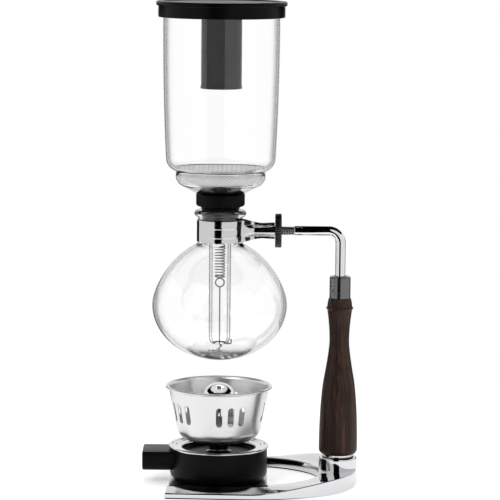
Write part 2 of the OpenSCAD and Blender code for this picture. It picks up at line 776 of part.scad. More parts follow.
module filter_cloth() color(cotton) on_glass() {
    crown_r = filter_top_d / 2;
    outer = concat(
        [[0, cloth_foot], [cup_flat, cloth_foot + 0.6]],
        bend([cup_low_r - 1.4, cup_z - 3.9], [cloth_r, cup_z - 2], [cloth_r, cup_z + 1], 5),
        bend([cloth_r - 0.2, cup_z + 2.4], [cloth_r - 0.9, cloth_top], [crown_r, cloth_top], 5),
        [[0, cloth_top]]
    );
    difference() {
        rotate_extrude() polygon(outer);
        translate([0, 0, plate_z - 0.1]) cylinder(h = plate_t + 0.2, r = plate_r + 0.2);
    }
}

module filter_nut() color(dark_steel) on_glass() {
    head_z = stop_top + 1.6;
    profile = [
        [0, spring_top - 6], [shank_r - 0.4, spring_top - 6], [shank_r, spring_top - 5.4],
        [shank_r, spring_top + 0.1], [knob_r - 0.8, spring_top + 0.1], [knob_r, spring_top + 0.9],
        [knob_r, head_z], [knob_r - 0.8, cloth_foot], [0, cloth_foot]
    ];
    rotate_extrude() polygon(profile);
}

// Section of the spring's wire after a number of turns
function coil(turn, n) =
    let(r = spring_d / 2 - spring_wire_d / 2, w = spring_wire_d / 2,
        a = 360 * turn,
        z = mix(spring_foot + w, spring_top - w, turn / spring_turns))
    [for (i = [0:n - 1]) let(b = -360 * i / n)
        [(r + w * cos(b)) * cos(a), (r + w * cos(b)) * sin(a), z + w * sin(b)]];

module filter_spring() color(steel) on_glass() {
    per_turn = 9;
    loft([for (i = [0:spring_turns * per_turn]) coil(i / per_turn, 6)]);
}

// ---- Lid ----

module lid_cap() color(black_plastic) on_glass() {
    rib_out_r = barrel_top - glass_t - 0.7;
    profile = concat(
        [[0, ceiling_z], [tube_r + fit_gap, ceiling_z], [tube_r + fit_gap, ceiling_z - 5]],
        [[tube_r + 2, ceiling_z - 5], [tube_r + 2.6, ceiling_z]],
        [[rib_out_r - 2, ceiling_z], [rib_out_r - 2, ceiling_z - 5]],
        [[rib_out_r, ceiling_z - 5], [rib_out_r, ceiling_z], [skirt_in, ceiling_z], [skirt_in, lid_foot]],
        [[skirt_out - 0.5, lid_foot], [skirt_out, lid_foot + 0.5]],
        [[skirt_out, lid_top - 3.4], [flange_r - 0.5, lid_top - 3.2]],
        arc([flange_r - 1.2, lid_top - 1.2], 1.2, 0, 90, 5),
        [[flange_r - 4.4, lid_top], [flange_r - 5.2, lid_top - 0.8], [0, lid_top - 0.8]]
    );
    rotate_extrude() polygon(profile);
}

module stand_tube() color(tube_grey) on_glass() {
    foot = ceiling_z - tube_len;
    profile = [
        [tube_r - tube_t, foot + 0.4], [tube_r - tube_t + 0.4, foot], [tube_r + 0.1, foot],
        [tube_r + 0.4, foot + 0.4], [tube_r + 0.4, foot + 1.4], [tube_r, foot + 1.8],
        [tube_r, ceiling_z], [tube_r - tube_t, ceiling_z]
    ];
    rotate_extrude() polygon(profile);
}

// ---- Burner ----

module burner_housing() color(black_plastic) on_glass() {
    corner = 5.8;
    half = tab_w / 2;
    tab_section = concat(
        arc([half - corner, tab_z + corner], corner, -90, 0, 6),
        arc([half - 0.8, tab_z + tab_h - 0.8], 0.8, 0, 90, 3),
        arc([-half + 0.8, tab_z + tab_h - 0.8], 0.8, 90, 180, 3),
        arc([-half + corner, tab_z + corner], corner, 180, 270, 6)
    );
    wall = concat(
        [[0, housing_z]],
        arc([housing_r - housing_edge, housing_z + housing_edge], housing_edge, -90, 0, 8),
        [[housing_r, housing_top], [0, housing_top]]
    );
    difference() {
        union() {
            rotate_extrude() polygon(wall);
            translate([-tab_reach, 0, 0]) rotate([90, 0, 90])
                linear_extrude(tab_reach - housing_r + housing_t + 4) polygon(tab_section);
        }
        translate([0, 0, housing_z + housing_t]) cylinder(h = housing_h, r = housing_r - housing_t);
    }
}

module fuel_tank() color(steel) on_glass() {
    r = tank_r;
    profile = [
        [0, tank_z], [r - 3, tank_z], [r - 1, tank_z + 0.8], [r, tank_z + 3], [r, tank_top_z - 3],
        [r - 0.8, tank_top_z], [wick_tube_r + fit_gap, tank_top_z],
        [wick_tube_r + fit_gap, tank_top_z - sheet_t], [r - 1.4, tank_top_z - sheet_t],
        [r - sheet_t, tank_top_z - 3.3], [r - sheet_t, tank_z + 3.3], [r - 1.6, tank_z + 1.5],
        [r - 3.2, tank_z + sheet_t], [0, tank_z + sheet_t]
    ];
    rotate_extrude() polygon(profile);
}

// Pressed top: a rolled edge over the housing, a sloping flange and a deep dish
module tank_top() color(chrome) on_glass() {
    edge = housing_r + ring_out;
    t = sheet_t;
    upper = concat(
        arc([edge - 0.9, housing_top + 0.7], 0.9, -30, 90, 4),
        [[edge - 2.6, housing_top + 1.5], [dish_r + 1.8, housing_top + 0.2]],
        [[dish_r + 0.7, housing_top - 0.7], [dish_r, dish_z + 1], [dish_r - 1, dish_z]],
        [[wick_tube_r + fit_gap, dish_z]]
    );
    lower = [
        [wick_tube_r + fit_gap, dish_z - t], [dish_r - 0.6, dish_z - t], [dish_r + t, dish_z + 0.6],
        [dish_r + t + 0.7, housing_top - 1.1], [dish_r + 2.2, housing_top - 0.6], [edge - 3.8, housing_top],
        [edge - 0.2, housing_top]
    ];
    rotate_extrude() polygon(concat(upper, lower));
}

// Collar on the dish, with the flange on which the bowl stands
module burner_neck() color(black_plastic) on_glass() {
    r = burner_neck_d / 2;
    bore = wick_tube_r + fit_gap;
    profile = concat(
        [[bore, dish_z], [r + 2.6, dish_z], [r + 2.6, dish_z + 1.2]],
        [[r, dish_z + 1.8], [r, burner_seat - 3.4]],
        bend([r + 0.2, burner_seat - 2.6], [r + 1.6, burner_seat - 1.2],
            [seat_d / 2 - 0.4, burner_seat - 1.2], 4),
        [[seat_d / 2, burner_seat - 0.8], [seat_d / 2, burner_seat], [bore, burner_seat]]
    );
    rotate_extrude() polygon(profile);
}

module wick_tube() color(brass) on_glass() {
    profile = [
        [wick_r + fit_gap, tank_top_z - 9], [wick_tube_r, tank_top_z - 9], [wick_tube_r, collar_z],
        [collar_r - 0.3, collar_z], [collar_r, collar_z + 0.3], [collar_r, collar_z + collar_t],
        [wick_tube_r, collar_z + collar_t], [wick_tube_r, collar_z + wick_head - 0.4],
        [wick_tube_r - 0.4, collar_z + wick_head], [wick_r + fit_gap, collar_z + wick_head]
    ];
    rotate_extrude() polygon(profile);
}

module wick() color(cotton) on_glass() {
    foot = tank_z + sheet_t + 0.3;
    top = collar_z + wick_head + 3;
    profile = [[0, foot], [wick_r, foot], [wick_r, top - 0.8], [wick_r - 0.8, top], [0, top]];
    rotate_extrude() polygon(profile);
}

// Side of the bowl from the hole in its bottom to the rolled rim, moved in by the sheet
function bowl_side(wall) =
    let(lean = atan((bowl_wall_top - bowl_low) / (bowl_h - bowl_corner - 2)),
        centre = [bowl_low - bowl_corner, bowl_z + bowl_corner])
    concat(
        [[bowl_hole, bowl_z + wall]],
        arc(centre, bowl_corner - wall, -90, -lean, 9),
        [[bowl_wall_top - wall / cos(lean), bowl_top - 2.7]],
        bend([bowl_wall_top + 0.05 - wall, bowl_top - 2.3],
            [bowl_wall_top + 0.3 - wall, bowl_top - 1.6],
            [bowl_wall_top + 0.9 - wall * 0.6, bowl_top - 0.9 + wall * 0.7], 3)
    );

// Upright slot with round ends, cut outwards from the axis
module slot() {
    low = bowl_z + slot_rise + slot_w / 2;
    high = bowl_z + slot_rise + slot_len - slot_w / 2;
    for (z = [low, high])
        translate([bowl_hole + 4, 0, z]) rotate([0, 90, 0]) cylinder(h = bowl_d / 2, d = slot_w);
    translate([bowl_hole + 4, -slot_w / 2, low]) cube([bowl_d / 2, slot_w, high - low]);
}

module wind_bowl() color(steel) on_glass() {
    difference() {
        union() {
            rotate_extrude() polygon(concat(bowl_side(0), flip(bowl_side(sheet_t))));
            rotate_extrude() translate([bowl_d / 2 - bead_rim, bowl_top - bead_rim]) circle(r = bead_rim);
        }
        for (group = [0:slot_groups - 1]) for (i = [0:slots_per_group - 1])
            let(turn = first_group - 90 + group * 360 / slot_groups, side = i - (slots_per_group - 1) / 2)
                rotate([0, 0, turn + side * slot_pitch]) slot();
    }
}

module snuffer_cap() color(chrome) on_glass() {
    dome_z = cap_z + cap_skirt;
    outer = concat([[cap_r, cap_z]], arc([0, dome_z], cap_r, 0, 90, 16));
    inner = concat([[cap_r - cap_t, cap_z]], arc([0, dome_z], cap_r - cap_t, 0, 90, 16));
    rotate_extrude() polygon(concat(outer, flip(inner)));
}

base_frame();
base_pad();
base_tray();
tray_screws();
base_bolt();
base_washer();
wooden_handle();
ferrule();
support_arm();
thumb_nut();
flask_glass();
clamp_band();
upper_chamber();
rubber_stopper();
hook_wire();
bead_chain();
filter_plate();
filter_cloth();
filter_nut();
filter_spring();
lid_cap();
stand_tube();
burner_housing();
fuel_tank();
tank_top();
burner_neck();
wick_tube();
wick();
wind_bowl();
snuffer_cap();
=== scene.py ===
# %% [markdown]
# # A siphon coffee maker
# A siphon stands on a horseshoe base. Its flask hangs from a bent rod, its upper chamber plugs into the
# flask, and a burner stands below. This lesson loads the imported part, makes every piece that shows as a
# smooth surface from numbers, gives each one the material of the real thing, and lights it in a white studio.

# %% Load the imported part
import math
import bmesh
import bpy
import numpy as np
from mathutils import Matrix, Vector


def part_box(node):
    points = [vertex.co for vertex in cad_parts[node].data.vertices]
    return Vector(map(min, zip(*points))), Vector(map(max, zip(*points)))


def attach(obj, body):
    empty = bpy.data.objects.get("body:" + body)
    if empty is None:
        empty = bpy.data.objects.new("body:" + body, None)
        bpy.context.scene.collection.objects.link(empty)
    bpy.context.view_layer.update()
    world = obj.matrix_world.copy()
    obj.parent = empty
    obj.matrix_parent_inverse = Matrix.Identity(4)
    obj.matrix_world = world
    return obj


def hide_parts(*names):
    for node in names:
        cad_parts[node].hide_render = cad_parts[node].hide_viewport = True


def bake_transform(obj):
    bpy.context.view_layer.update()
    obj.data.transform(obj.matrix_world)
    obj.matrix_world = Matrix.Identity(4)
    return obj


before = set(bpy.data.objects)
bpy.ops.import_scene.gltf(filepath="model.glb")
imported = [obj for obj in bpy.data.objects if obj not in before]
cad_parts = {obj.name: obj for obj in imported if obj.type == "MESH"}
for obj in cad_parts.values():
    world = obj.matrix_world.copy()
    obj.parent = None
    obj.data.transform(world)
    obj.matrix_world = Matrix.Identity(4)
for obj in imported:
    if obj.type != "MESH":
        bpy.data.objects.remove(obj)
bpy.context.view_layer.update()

scene = bpy.context.scene

# %% [markdown]
# The camera comes first, so that everything later can be judged through it. A long lens from about two metres
# away gives the flat perspective of a catalogue picture. The lens looks a little down on the table, because
# it stands slightly higher than the lid.

# %% Camera
CAMERA_AT, CAMERA_PITCH, CAMERA_ROLL = Vector((-0.0669, -1.9, 0.4233)), 7.47, 0.52
camera_data = bpy.data.cameras.new("camera")
camera_data.sensor_width, camera_data.lens = 36, 186.65
camera = bpy.data.objects.new("camera", camera_data)
turned = (Matrix.Rotation(math.radians(90 - CAMERA_PITCH), 4, "X")
          @ Matrix.Rotation(math.radians(CAMERA_ROLL), 4, "Z"))
camera.matrix_world = Matrix.Translation(CAMERA_AT) @ turned
scene.collection.objects.link(camera)
scene.camera = camera
scene.view_settings.view_transform = "Standard"
print("camera", tuple(round(v, 3) for v in CAMERA_AT), "lens", camera_data.lens)

# %% [markdown]
# ## Tools for shapes
# Almost every piece of a siphon is turned, blown or spun, so it is a closed outline carried round an axis.
# The outline could be drawn as a curve and spun with a modifier. Working out the grid of points in numpy is
# as short, and it leaves the point order, and so the side that faces out, under control. All sizes are in
# millimetres.

# %% Outlines
MM, POT_X = 0.001, -0.089  # a millimetre, and the place of the pot's axis, in metres
POT = POT_X * 1000


def arc(centre, radius, start, end, steps):
    """Points of a circle round centre: each angle runs evenly from start to end, in degrees."""
    a = np.radians(np.linspace(start, end, steps + 1))
    return np.stack([centre[0] + radius * np.cos(a), centre[1] + radius * np.sin(a)], axis=1)


def bend(first, pull, last, steps):
    """Curve from first to last that leans towards pull: the three weighed by (1-t)^2, 2t(1-t) and t^2. Arrays
    of points give as many curves."""
    first, pull, last = (np.array(point, float)[..., None, :] for point in (first, pull, last))
    t = np.linspace(0, 1, steps + 1)[:, None]
    return (1 - t) ** 2 * first + 2 * t * (1 - t) * pull + t**2 * last


def outline(*parts):
    """Joins points and curves into one closed outline of (radius, height) that runs anticlockwise."""
    points = np.concatenate([np.atleast_2d(np.array(part, float)) for part in parts])
    points = points[np.linalg.norm(points - np.roll(points, 1, axis=0), axis=1) > 1e-4]
    r, z = points.T
    return points if np.sum(r * np.roll(z, -1) - np.roll(r, -1) * z) > 0 else points[::-1]


def ease(t):
    """0 to 1 with a soft start and end: half of one minus the cosine of half a turn times t."""
    return (1 - np.cos(np.pi * np.clip(t, 0, 1))) / 2


def xyz(x, y, z):
    """Points from their coordinates, each of which may be a single number, a row or a column of the grid."""
    return np.stack(np.broadcast_arrays(x, y, z), axis=-1)


def around(steps):
    """The angles of a full turn in even steps, as a column."""
    return np.linspace(0, 2 * np.pi, steps, endpoint=False)[:, None]


print("outline of a 2 mm disc:", outline([0, 0], [1, 0], [1, 1], [0, 1]).tolist())

# %% Meshes from grids


def grid_faces(rows, columns, wrap_rows=False, wrap_columns=False, start=0):
    """Quads between neighbours of a rows by columns grid, whose points are numbered row by row from start."""
    i = np.arange(rows if wrap_rows else rows - 1)[:, None]
    j = np.arange(columns if wrap_columns else columns - 1)[None, :]
    i2, j2 = (i + 1) % rows, (j + 1) % columns
    quads = np.stack([i * columns + j, i2 * columns + j, i2 * columns + j2, i * columns + j2], axis=-1)
    return quads.reshape(-1, 4) + start


print("the one quad of a 2 by 2 grid:", grid_faces(2, 2).tolist())


def mesh_piece(name, points, faces, sharp=40, unit=MM, turn_out=True):
    """A piece from points and faces. Doubled points are merged, which closes seams and poles, the faces are
    turned to look out, and edges that turn by more than sharp degrees stay crisp."""
    mesh = bpy.data.meshes.new(name)
    mesh.from_pydata((np.reshape(points, (-1, 3)) * unit).tolist(), [], [list(face) for face in faces])
    work = bmesh.new()
    work.from_mesh(mesh)
    bmesh.ops.remove_doubles(work, verts=work.verts, dist=2e-7)
    if turn_out:
        bmesh.ops.recalc_face_normals(work, faces=work.faces)
    work.to_mesh(mesh)
    work.free()
    mesh.shade_smooth()
    mesh.set_sharp_from_angle(angle=math.radians(sharp))
    piece = bpy.data.objects.new(name, mesh)
    scene.collection.objects.link(piece)
    return piece


def loft(name, points, sharp=40, ring=False):
    """A skin over closed sections, one row of points to each. Both ends get a face, unless the rows form a
    ring."""
    rows, columns = points.shape[:2]
    faces = grid_faces(rows, columns, wrap_rows=ring, wrap_columns=True).tolist()
    if not ring:
        last = (rows - 1) * columns
        faces += [list(range(columns)), list(range(last, last + columns))[::-1]]
    return mesh_piece(name, points, faces, sharp)


def spin(name, r, z, centre=POT, sharp=40):
    """Carries radii and heights round an upright axis, one row to each angle: x is the centre's plus the
    radius times the cosine of the angle, and y is the radius times its sine. No face is laid in the axis
    itself."""
    a = around(len(r))
    in_axis = np.abs(r[0]) < 1e-6
    faces = grid_faces(*r.shape, wrap_rows=True, wrap_columns=True)
    faces = faces[~np.tile(in_axis & np.roll(in_axis, -1), len(r))]
    return mesh_piece(name, xyz(centre + r * np.cos(a), r * np.sin(a), z), faces.tolist(), sharp)


def turn(name, *parts, centre=POT, height=0.0, steps=160, sharp=40):
    """Spins the outline that the parts make, whose heights count from height."""
    r, z = outline(*parts).T
    return spin(name, np.tile(r, (steps, 1)), z + height, centre, sharp)


def tube(name, path, radius, sides=24, closed=False):
    """Carries a circle along a path. Two directions square to the path are taken from its tangent and a fixed
    side direction, and each point is the path plus radius times cosine and sine of the angle in them."""
    path = np.asarray(path, float)
    ahead = np.roll(path, -1, axis=0) - np.roll(path, 1, axis=0)
    if not closed:
        ahead[0], ahead[-1] = path[1] - path[0], path[-1] - path[-2]
    ahead /= np.linalg.norm(ahead, axis=1)[:, None]
    side = np.cross(ahead, np.array([0.0173, 1.0, 0.0311]))
    side /= np.linalg.norm(side, axis=1)[:, None]
    up = np.cross(side, ahead)
    a = around(sides)[None, ::-1]
    ring = side[:, None] * np.cos(a) + up[:, None] * np.sin(a)
    return loft(name, path[:, None] + np.broadcast_to(radius, len(path))[:, None, None] * ring, ring=closed)


def joined(name, pieces):
    """Several meshes as one piece."""
    work = bmesh.new()
    for piece in pieces:
        work.from_mesh(piece.data)
    mesh = pieces[0].data
    work.to_mesh(mesh)
    work.free()
    for piece in pieces[1:]:
        bpy.data.objects.remove(piece)
    pieces[0].name = mesh.name = name
    return pieces[0]


def fit(piece, body, node, material):
    """The piece rides on a body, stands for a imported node, and gets its material."""
    piece.data.materials.clear()
    piece.data.materials.append(material)
    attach(piece, body)
    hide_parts(node)
    low, high = (np.array(corner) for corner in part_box(node))
    size = np.array([v.co for v in piece.data.vertices])
    print(f"{piece.name}: {len(piece.data.polygons)} faces, box off by "
          f"{max(abs(size.min(0) - low).max(), abs(size.max(0) - high).max()) * 1000:.2f} mm")


# %% [markdown]
# ## Tools for materials
# Colours are written as the hex values that a paint chart gives, and one function turns them into the linear
# numbers that the renderer needs. One more function adds a node, sets it and links it, so that each material
# below reads as a list of what happens on the surface. The scale of a noise is its number of clouds to a
# metre, so each one follows from a width in millimetres.

# %% Colour and node helpers


def linear(code):
    """sRGB hex to linear: a channel c up to 0.04045 is divided by 12.92, and above that it becomes
    ((c + 0.055) / 1.055) ^ 2.4."""
    c = np.array([int(code[i:i + 2], 16) for i in (1, 3, 5)]) / 255
    c = np.where(c <= 0.04045, c / 12.92, ((c + 0.055) / 1.055) ** 2.4)
    return (*c.tolist(), 1.0)


def add(tree, kind, inputs=None, stops=(), **settings):
    """Adds a node, sets its properties, and sets or links each input. A node stands for its first output. The
    stops of a colour ramp are (position, hex) pairs."""
    node = tree.nodes.new("ShaderNode" + kind)
    for key, value in settings.items():
        setattr(node, key, value)
    for key, value in (inputs or {}).items():
        value = value.outputs[0] if isinstance(value, bpy.types.Node) else value
        if isinstance(value, bpy.types.NodeSocket):
            tree.links.new(value, node.inputs[key])
        else:
            node.inputs[key].default_value = value
    if stops:
        elements = node.color_ramp.elements
        while len(elements) < len(stops):
            elements.new(0.5)
        for element, (position, code) in zip(elements, stops):
            element.position, element.color = position, linear(code)
    return node


def new_material(name):
    """An empty material, its node tree, and the place on the object, which most of them start from."""
    material = bpy.data.materials.new(name)
    material.use_nodes = True
    tree = material.node_tree
    tree.nodes.clear()
    return material, tree, add(tree, "TexCoord").outputs["Object"]


def axis_distance(tree, where):
    """Distance from the pot's upright axis: the length of (x + 89 mm, y, 0)."""
    flat = add(tree, "VectorMath", {0: where, 1: (1, 1, 0), 2: (-POT_X, 0, 0)}, operation="MULTIPLY_ADD")
    return add(tree, "VectorMath", {0: flat}, operation="LENGTH").outputs["Value"]


print("mid grey is", [round(v, 3) for v in linear("#808080")[:3]])

# %% [markdown]
# ## Metals
# Chrome plate on a polished casting mirrors the room. What tells it from a drawing is a trace of unevenness:
# the casting under the plate is never quite flat, and fingers leave faint smears. Both are small, so they sit
# in the roughness and in a very low bump rather than in the colour.

# %% Chrome plate and polished strip


def mirror_metal(name, colour, rough, smear, wave):
    """Polished metal: one colour, roughness between two values by smears 14 mm wide, and a low bump of wave
    mm, 36 mm wide."""
    material, tree, where = new_material(name)
    smears = add(tree, "TexNoise", {"Vector": where, "Scale": 70, "Detail": 5, "Roughness": 0.6})
    spread = add(tree, "MapRange", {"Value": smears, "From Min": 0.45, "From Max": 0.75, "To Min": rough,
                                    "To Max": rough + smear})
    swell = add(tree, "TexNoise", {"Vector": where, "Scale": 28, "Detail": 1})
    bump = add(tree, "Bump", {"Height": swell, "Distance": wave * MM, "Strength": 0.6})
    shader = add(tree, "BsdfPrincipled", {"Base Color": linear(colour), "Metallic": 1.0, "Roughness": spread,
                                          "Normal": bump})
    add(tree, "OutputMaterial", {"Surface": shader})
    return material


chrome_casting = mirror_metal("chrome_plated_zinc_casting", "#CECED0", 0.04, 0.02, 0.008)
chrome_rod = mirror_metal("chrome_plated_steel_rod", "#DCDCDD", 0.03, 0.01, 0.002)
polished_strip = mirror_metal("polished_stainless_strip", "#C9C9C9", 0.09, 0.05, 0.01)
pressed_steel = mirror_metal("pressed_polished_steel", "#D3D3D2", 0.10, 0.05, 0.01)
mirror_cap_metal = mirror_metal("mirror_polished_steel_cap", "#DADBDD", 0.04, 0.02, 0.004)
drawn_wire = mirror_metal("drawn_spring_wire", "#5C5C5D", 0.2, 0.08, 0.01)
bead_nickel = mirror_metal("nickel_plated_beads", "#B4B4B5", 0.10, 0.05, 0.002)
print("mirror metals made")

# %% [markdown]
# Spun stainless steel is brushed while it turns, so its fine lines run round the piece. The lines depend on
# the distance from the axis and on the height only. They are drawn 0.25 mm apart, coarser than the real ones,
# so that they show. The turned and rolled metals have the same kind of line, and black nickel only a darker
# colour.

# %% Spun and dark metals


def spun_metal(name, colour, rough, lines, depth):
    """Satin metal with rings round the pot's axis: noise over the distance from the axis and the height. The
    roughness follows it and clouds 22 mm wide."""
    material, tree, where = new_material(name)
    height = add(tree, "SeparateXYZ", {"Vector": where}).outputs["Z"]
    rings = add(tree, "CombineXYZ", {"X": axis_distance(tree, where), "Y": height})
    grain = add(tree, "TexNoise", {"Vector": rings, "Scale": 1 / (lines * MM), "Detail": 3, "Roughness": 0.7})
    cloud = add(tree, "TexNoise", {"Vector": where, "Scale": 45, "Detail": 3})
    both = add(tree, "Math", {0: grain, 1: cloud}, operation="ADD")
    spread = add(tree, "MapRange", {"Value": both, "From Min": 0.6, "From Max": 1.4, "To Min": rough - 0.05,
                                    "To Max": rough + 0.07})
    bump = add(tree, "Bump", {"Height": grain, "Distance": depth * MM, "Strength": 0.5})
    shader = add(tree, "BsdfPrincipled", {"Base Color": linear(colour), "Metallic": 1.0, "Roughness": spread,
                                          "Normal": bump})
    add(tree, "OutputMaterial", {"Surface": shader})
    return material


spun_steel = spun_metal("spun_satin_stainless_steel", "#DADADA", 0.30, 0.25, 0.003)
sheet_steel = spun_metal("rolled_sheet_steel", "#C9C9C7", 0.30, 0.6, 0.01)
cut_steel = spun_metal("cut_thread_steel", "#8E8E90", 0.22, 0.35, 0.006)
dark_nickel = spun_metal("satin_black_nickel", "#6E6E70", 0.2, 0.35, 0.001)
nut_nickel = spun_metal("knurled_black_nickel", "#48484A", 0.24, 0.35, 0.006)
print("satin metals made")

# %% [markdown]
# ## Plastics and rubber
# The lid and the burner's housing are moulded from a heat-proof black plastic. The mould was finished by
# spark erosion, which leaves a grain of about 0.15 mm that breaks up the shine. The tube under the lid came
# from a smoother mould, so it is glossier. Rubber is matte, with a bloom that lightens it in places.

# %% Moulded plastics and rubber


def moulded(name, dark, light, rough, grain, depth, shine):
    """Moulded surface: two near colours in soft clouds 33 mm wide, a fine grain of the given size and depth
    in mm, and a shine that is 0.5 for a plain polished plastic and less for a surface that scatters."""
    material, tree, where = new_material(name)
    cloud = add(tree, "TexNoise", {"Vector": where, "Scale": 30, "Detail": 4})
    colour = add(tree, "ValToRGB", {"Fac": cloud}, stops=((0.3, dark), (0.7, light)))
    spread = add(tree, "MapRange", {"Value": cloud, "From Min": 0.35, "From Max": 0.65,
                                    "To Min": rough - 0.03, "To Max": rough + 0.04})
    fine = add(tree, "TexNoise", {"Vector": where, "Scale": 1 / (grain * MM), "Detail": 2})
    bump = add(tree, "Bump", {"Height": fine, "Distance": depth * MM, "Strength": 0.5})
    shader = add(tree, "BsdfPrincipled", {"Base Color": colour, "IOR": 1.5, "Specular IOR Level": shine,
                                          "Roughness": spread, "Normal": bump})
    add(tree, "OutputMaterial", {"Surface": shader})
    return material


black_plastic = moulded("moulded_black_phenolic", "#040405", "#080809", 0.32, 0.15, 0.01, 0.08)
grey_plastic = moulded("polished_dark_grey_plastic", "#060607", "#0A0A0B", 0.2, 0.3, 0.004, 0.06)
black_rubber = moulded("moulded_silicone_rubber", "#040404", "#080808", 0.5, 0.12, 0.015, 0.08)
print("plastics and rubber made")

# %% [markdown]
# ## Wood
# Wenge is nearly black-brown with finer, paler lines of soft tissue along the grain, about a millimetre
# apart, and short dark pores. A turned handle shows them as upright streaks. Noises stretched along the
# height give the streaks, 1.1 by 45 mm, and broad bands, 5 by 170 mm. A third one cuts the pores, 0.4 by
# 8 mm, into the bump.

# %% Turned wenge
wenge, tree, where = new_material("turned_oiled_wenge")
clouds = add(tree, "TexNoise", {"Vector": where, "Scale": 14, "Detail": 2}).outputs["Color"]
drift = add(tree, "VectorMath", {0: clouds, 3: 0.004}, operation="SCALE")
bent = add(tree, "VectorMath", {0: where, 1: drift}, operation="ADD")
streaks, bands, pores = (
    add(tree, "TexNoise", {"Vector": add(tree, "Mapping", {"Vector": bent, "Scale": (across, across, up)}),
                           "Scale": 1, "Detail": detail, "Roughness": rough})
    for across, up, detail, rough in ((900, 22, 4, 0.55), (210, 6, 2, 0.5), (2600, 130, 1, 0.5)))
both = add(tree, "Math", {0: streaks, 1: bands}, operation="ADD")
halved = add(tree, "Math", {0: both, 1: 0.5}, operation="MULTIPLY")
wood_colour = add(tree, "ValToRGB", {"Fac": halved}, stops=(
    (0.34, "#150C09"), (0.47, "#23150F"), (0.56, "#332118"), (0.68, "#4A3226")))
oiled = add(tree, "MapRange", {"Value": halved, "From Min": 0.35, "From Max": 0.65, "To Min": 0.50,
                               "To Max": 0.38})
filled = add(tree, "MapRange", {"Value": pores, "From Min": 0.30, "From Max": 0.42})
bump = add(tree, "Bump", {"Height": filled, "Distance": 0.06 * MM, "Strength": 0.6})
shader = add(tree, "BsdfPrincipled", {"Base Color": wood_colour, "IOR": 1.5, "Specular IOR Level": 0.18,
                                      "Roughness": oiled, "Normal": bump})
add(tree, "OutputMaterial", {"Surface": shader})
print("wood made")

# %% [markdown]
# ## Glass
# Borosilicate bends light a little less than window glass: its index is 1.47. Seen square on it is clear, and
# seen along the wall the eye looks through much more of it, which draws the grey line that outlines the
# flask. The colour is therefore white face on and dark at a glancing angle. The stem is so narrow that this
# line would be lost on it, so within 20 mm of the axis the glass darkens sooner.

# %% Borosilicate glass
clear_glass, tree, where = new_material("blown_borosilicate_glass")
facing = add(tree, "LayerWeight", {"Blend": 0.5}).outputs["Facing"]
narrow = add(tree, "MapRange", {"Value": axis_distance(tree, where), "From Min": 0.010, "From Max": 0.020,
                                "To Min": 1.45, "To Max": 1.0})
glancing = add(tree, "Math", {0: facing, 1: narrow}, operation="MULTIPLY")
tint = add(tree, "ValToRGB", {"Fac": glancing}, stops=(
    (0.0, "#FFFFFF"), (0.50, "#FDFDFD"), (0.67, "#DDDFDF"), (0.80, "#868A8A"), (0.90, "#303434"),
    (1.0, "#0A0E0E")))
shader = add(tree, "BsdfPrincipled", {"Base Color": tint, "IOR": 1.47, "Roughness": 0.0,
                                      "Transmission Weight": 1.0})
add(tree, "OutputMaterial", {"Surface": shader})
print("glass made")

# %% [markdown]
# ## Cloth and wick
# The filter is a disc in a bag of cotton twill. In a twill each thread passes over two and steps aside by
# one, so the eye sees slanting ribs. They are drawn a millimetre wide, coarser than the real ones, so that
# they show through the glass. The wick is plaited from the same cotton.

# %% Cotton twill and plait


def cotton(name, light, dark, rib, slant):
    """Cotton with slanting ribs: a sine wave along x, turned by slant degrees towards the height, whose
    crests are rib mm wide with as much between them. At a scale of 1 that wave is 0.314 m long. Loose fibres
    are a noise 0.7 mm wide."""
    material, tree, where = new_material(name)
    centred = add(tree, "VectorMath", {0: where, 1: (-POT_X, 0, 0)}, operation="ADD")
    slanted = add(tree, "Mapping", {"Vector": centred, "Rotation": (0.0, math.radians(slant), 0.0)})
    ribs = add(tree, "TexWave", {"Vector": slanted, "Scale": 0.314 / (rib * MM) / 2, "Distortion": 1.2,
                                 "Detail": 1, "Detail Scale": 2.0}, wave_type="BANDS", bands_direction="X")
    fibres = add(tree, "TexNoise", {"Vector": where, "Scale": 1500, "Detail": 3})
    height = add(tree, "Math", {0: ribs.outputs["Fac"], 1: fibres}, operation="ADD")
    # The colour follows the bump's height and is darker where it is low: painted shade in the hollows between
    # the ribs, with the fibre noise adding the cotton's own uneven tone.
    colour = add(tree, "ValToRGB", {"Fac": height}, stops=((0.35, dark), (0.75, light)))
    bump = add(tree, "Bump", {"Height": height, "Distance": 0.18 * MM, "Strength": 0.9})
    shader = add(tree, "BsdfPrincipled", {"Base Color": colour, "Roughness": 0.88, "Sheen Weight": 0.25,
                                          "Sheen Roughness": 0.5, "Normal": bump})
    add(tree, "OutputMaterial", {"Surface": shader})
    return material


twill = cotton("woven_cotton_twill", "#F4F4F2", "#BEBEBC", 1.0, 55)
plait = cotton("plaited_cotton_wick", "#DDD8CB", "#A9A395", 1.2, 50)
print("cotton made")

# %% [markdown]
# ## The stand
# The base is a zinc casting in the shape of a horseshoe: two arms joined by a round end, which rises to the
# foot of the handle. Its section changes along the way, so one section is worked out at each station from the
# tip of one arm round to the tip of the other, and the sections are joined. Corners are rounded by half a
# millimetre or so, as polishing leaves them, because a mirror without rounded edges looks like a paper model.

# %% Plan of the stand
BASE_Z, BASE_TOP, BOSS_TOP, HANDLE_Z = 1.0, 8.0, 20.5, 21.8
HANDLE_LEN, FERRULE_Z, ARM_Z = 117.2, 139.0, 188.8
TIP_X, ROUND_OUT, ROUND_IN, HALF_OUT, HALF_IN = -128.0, 82.0, 60.0, 66.0, 50.5
CENTRE_OUT, CENTRE_IN = 13.5 - ROUND_OUT, -12.95 - ROUND_IN
ARM_TOE, TIP_RAKE, DRAFT, ARM_TOP = 2.5, 2.8, 0.6, 6.8
CREST_ARM, CREST_ROUND = 4.5, 11.7  # height of the outer edge, at the arms and under the handle
FLAT_ARM, FLAT_ROUND = 1.5, 8.5  # width of the level top, at the same places


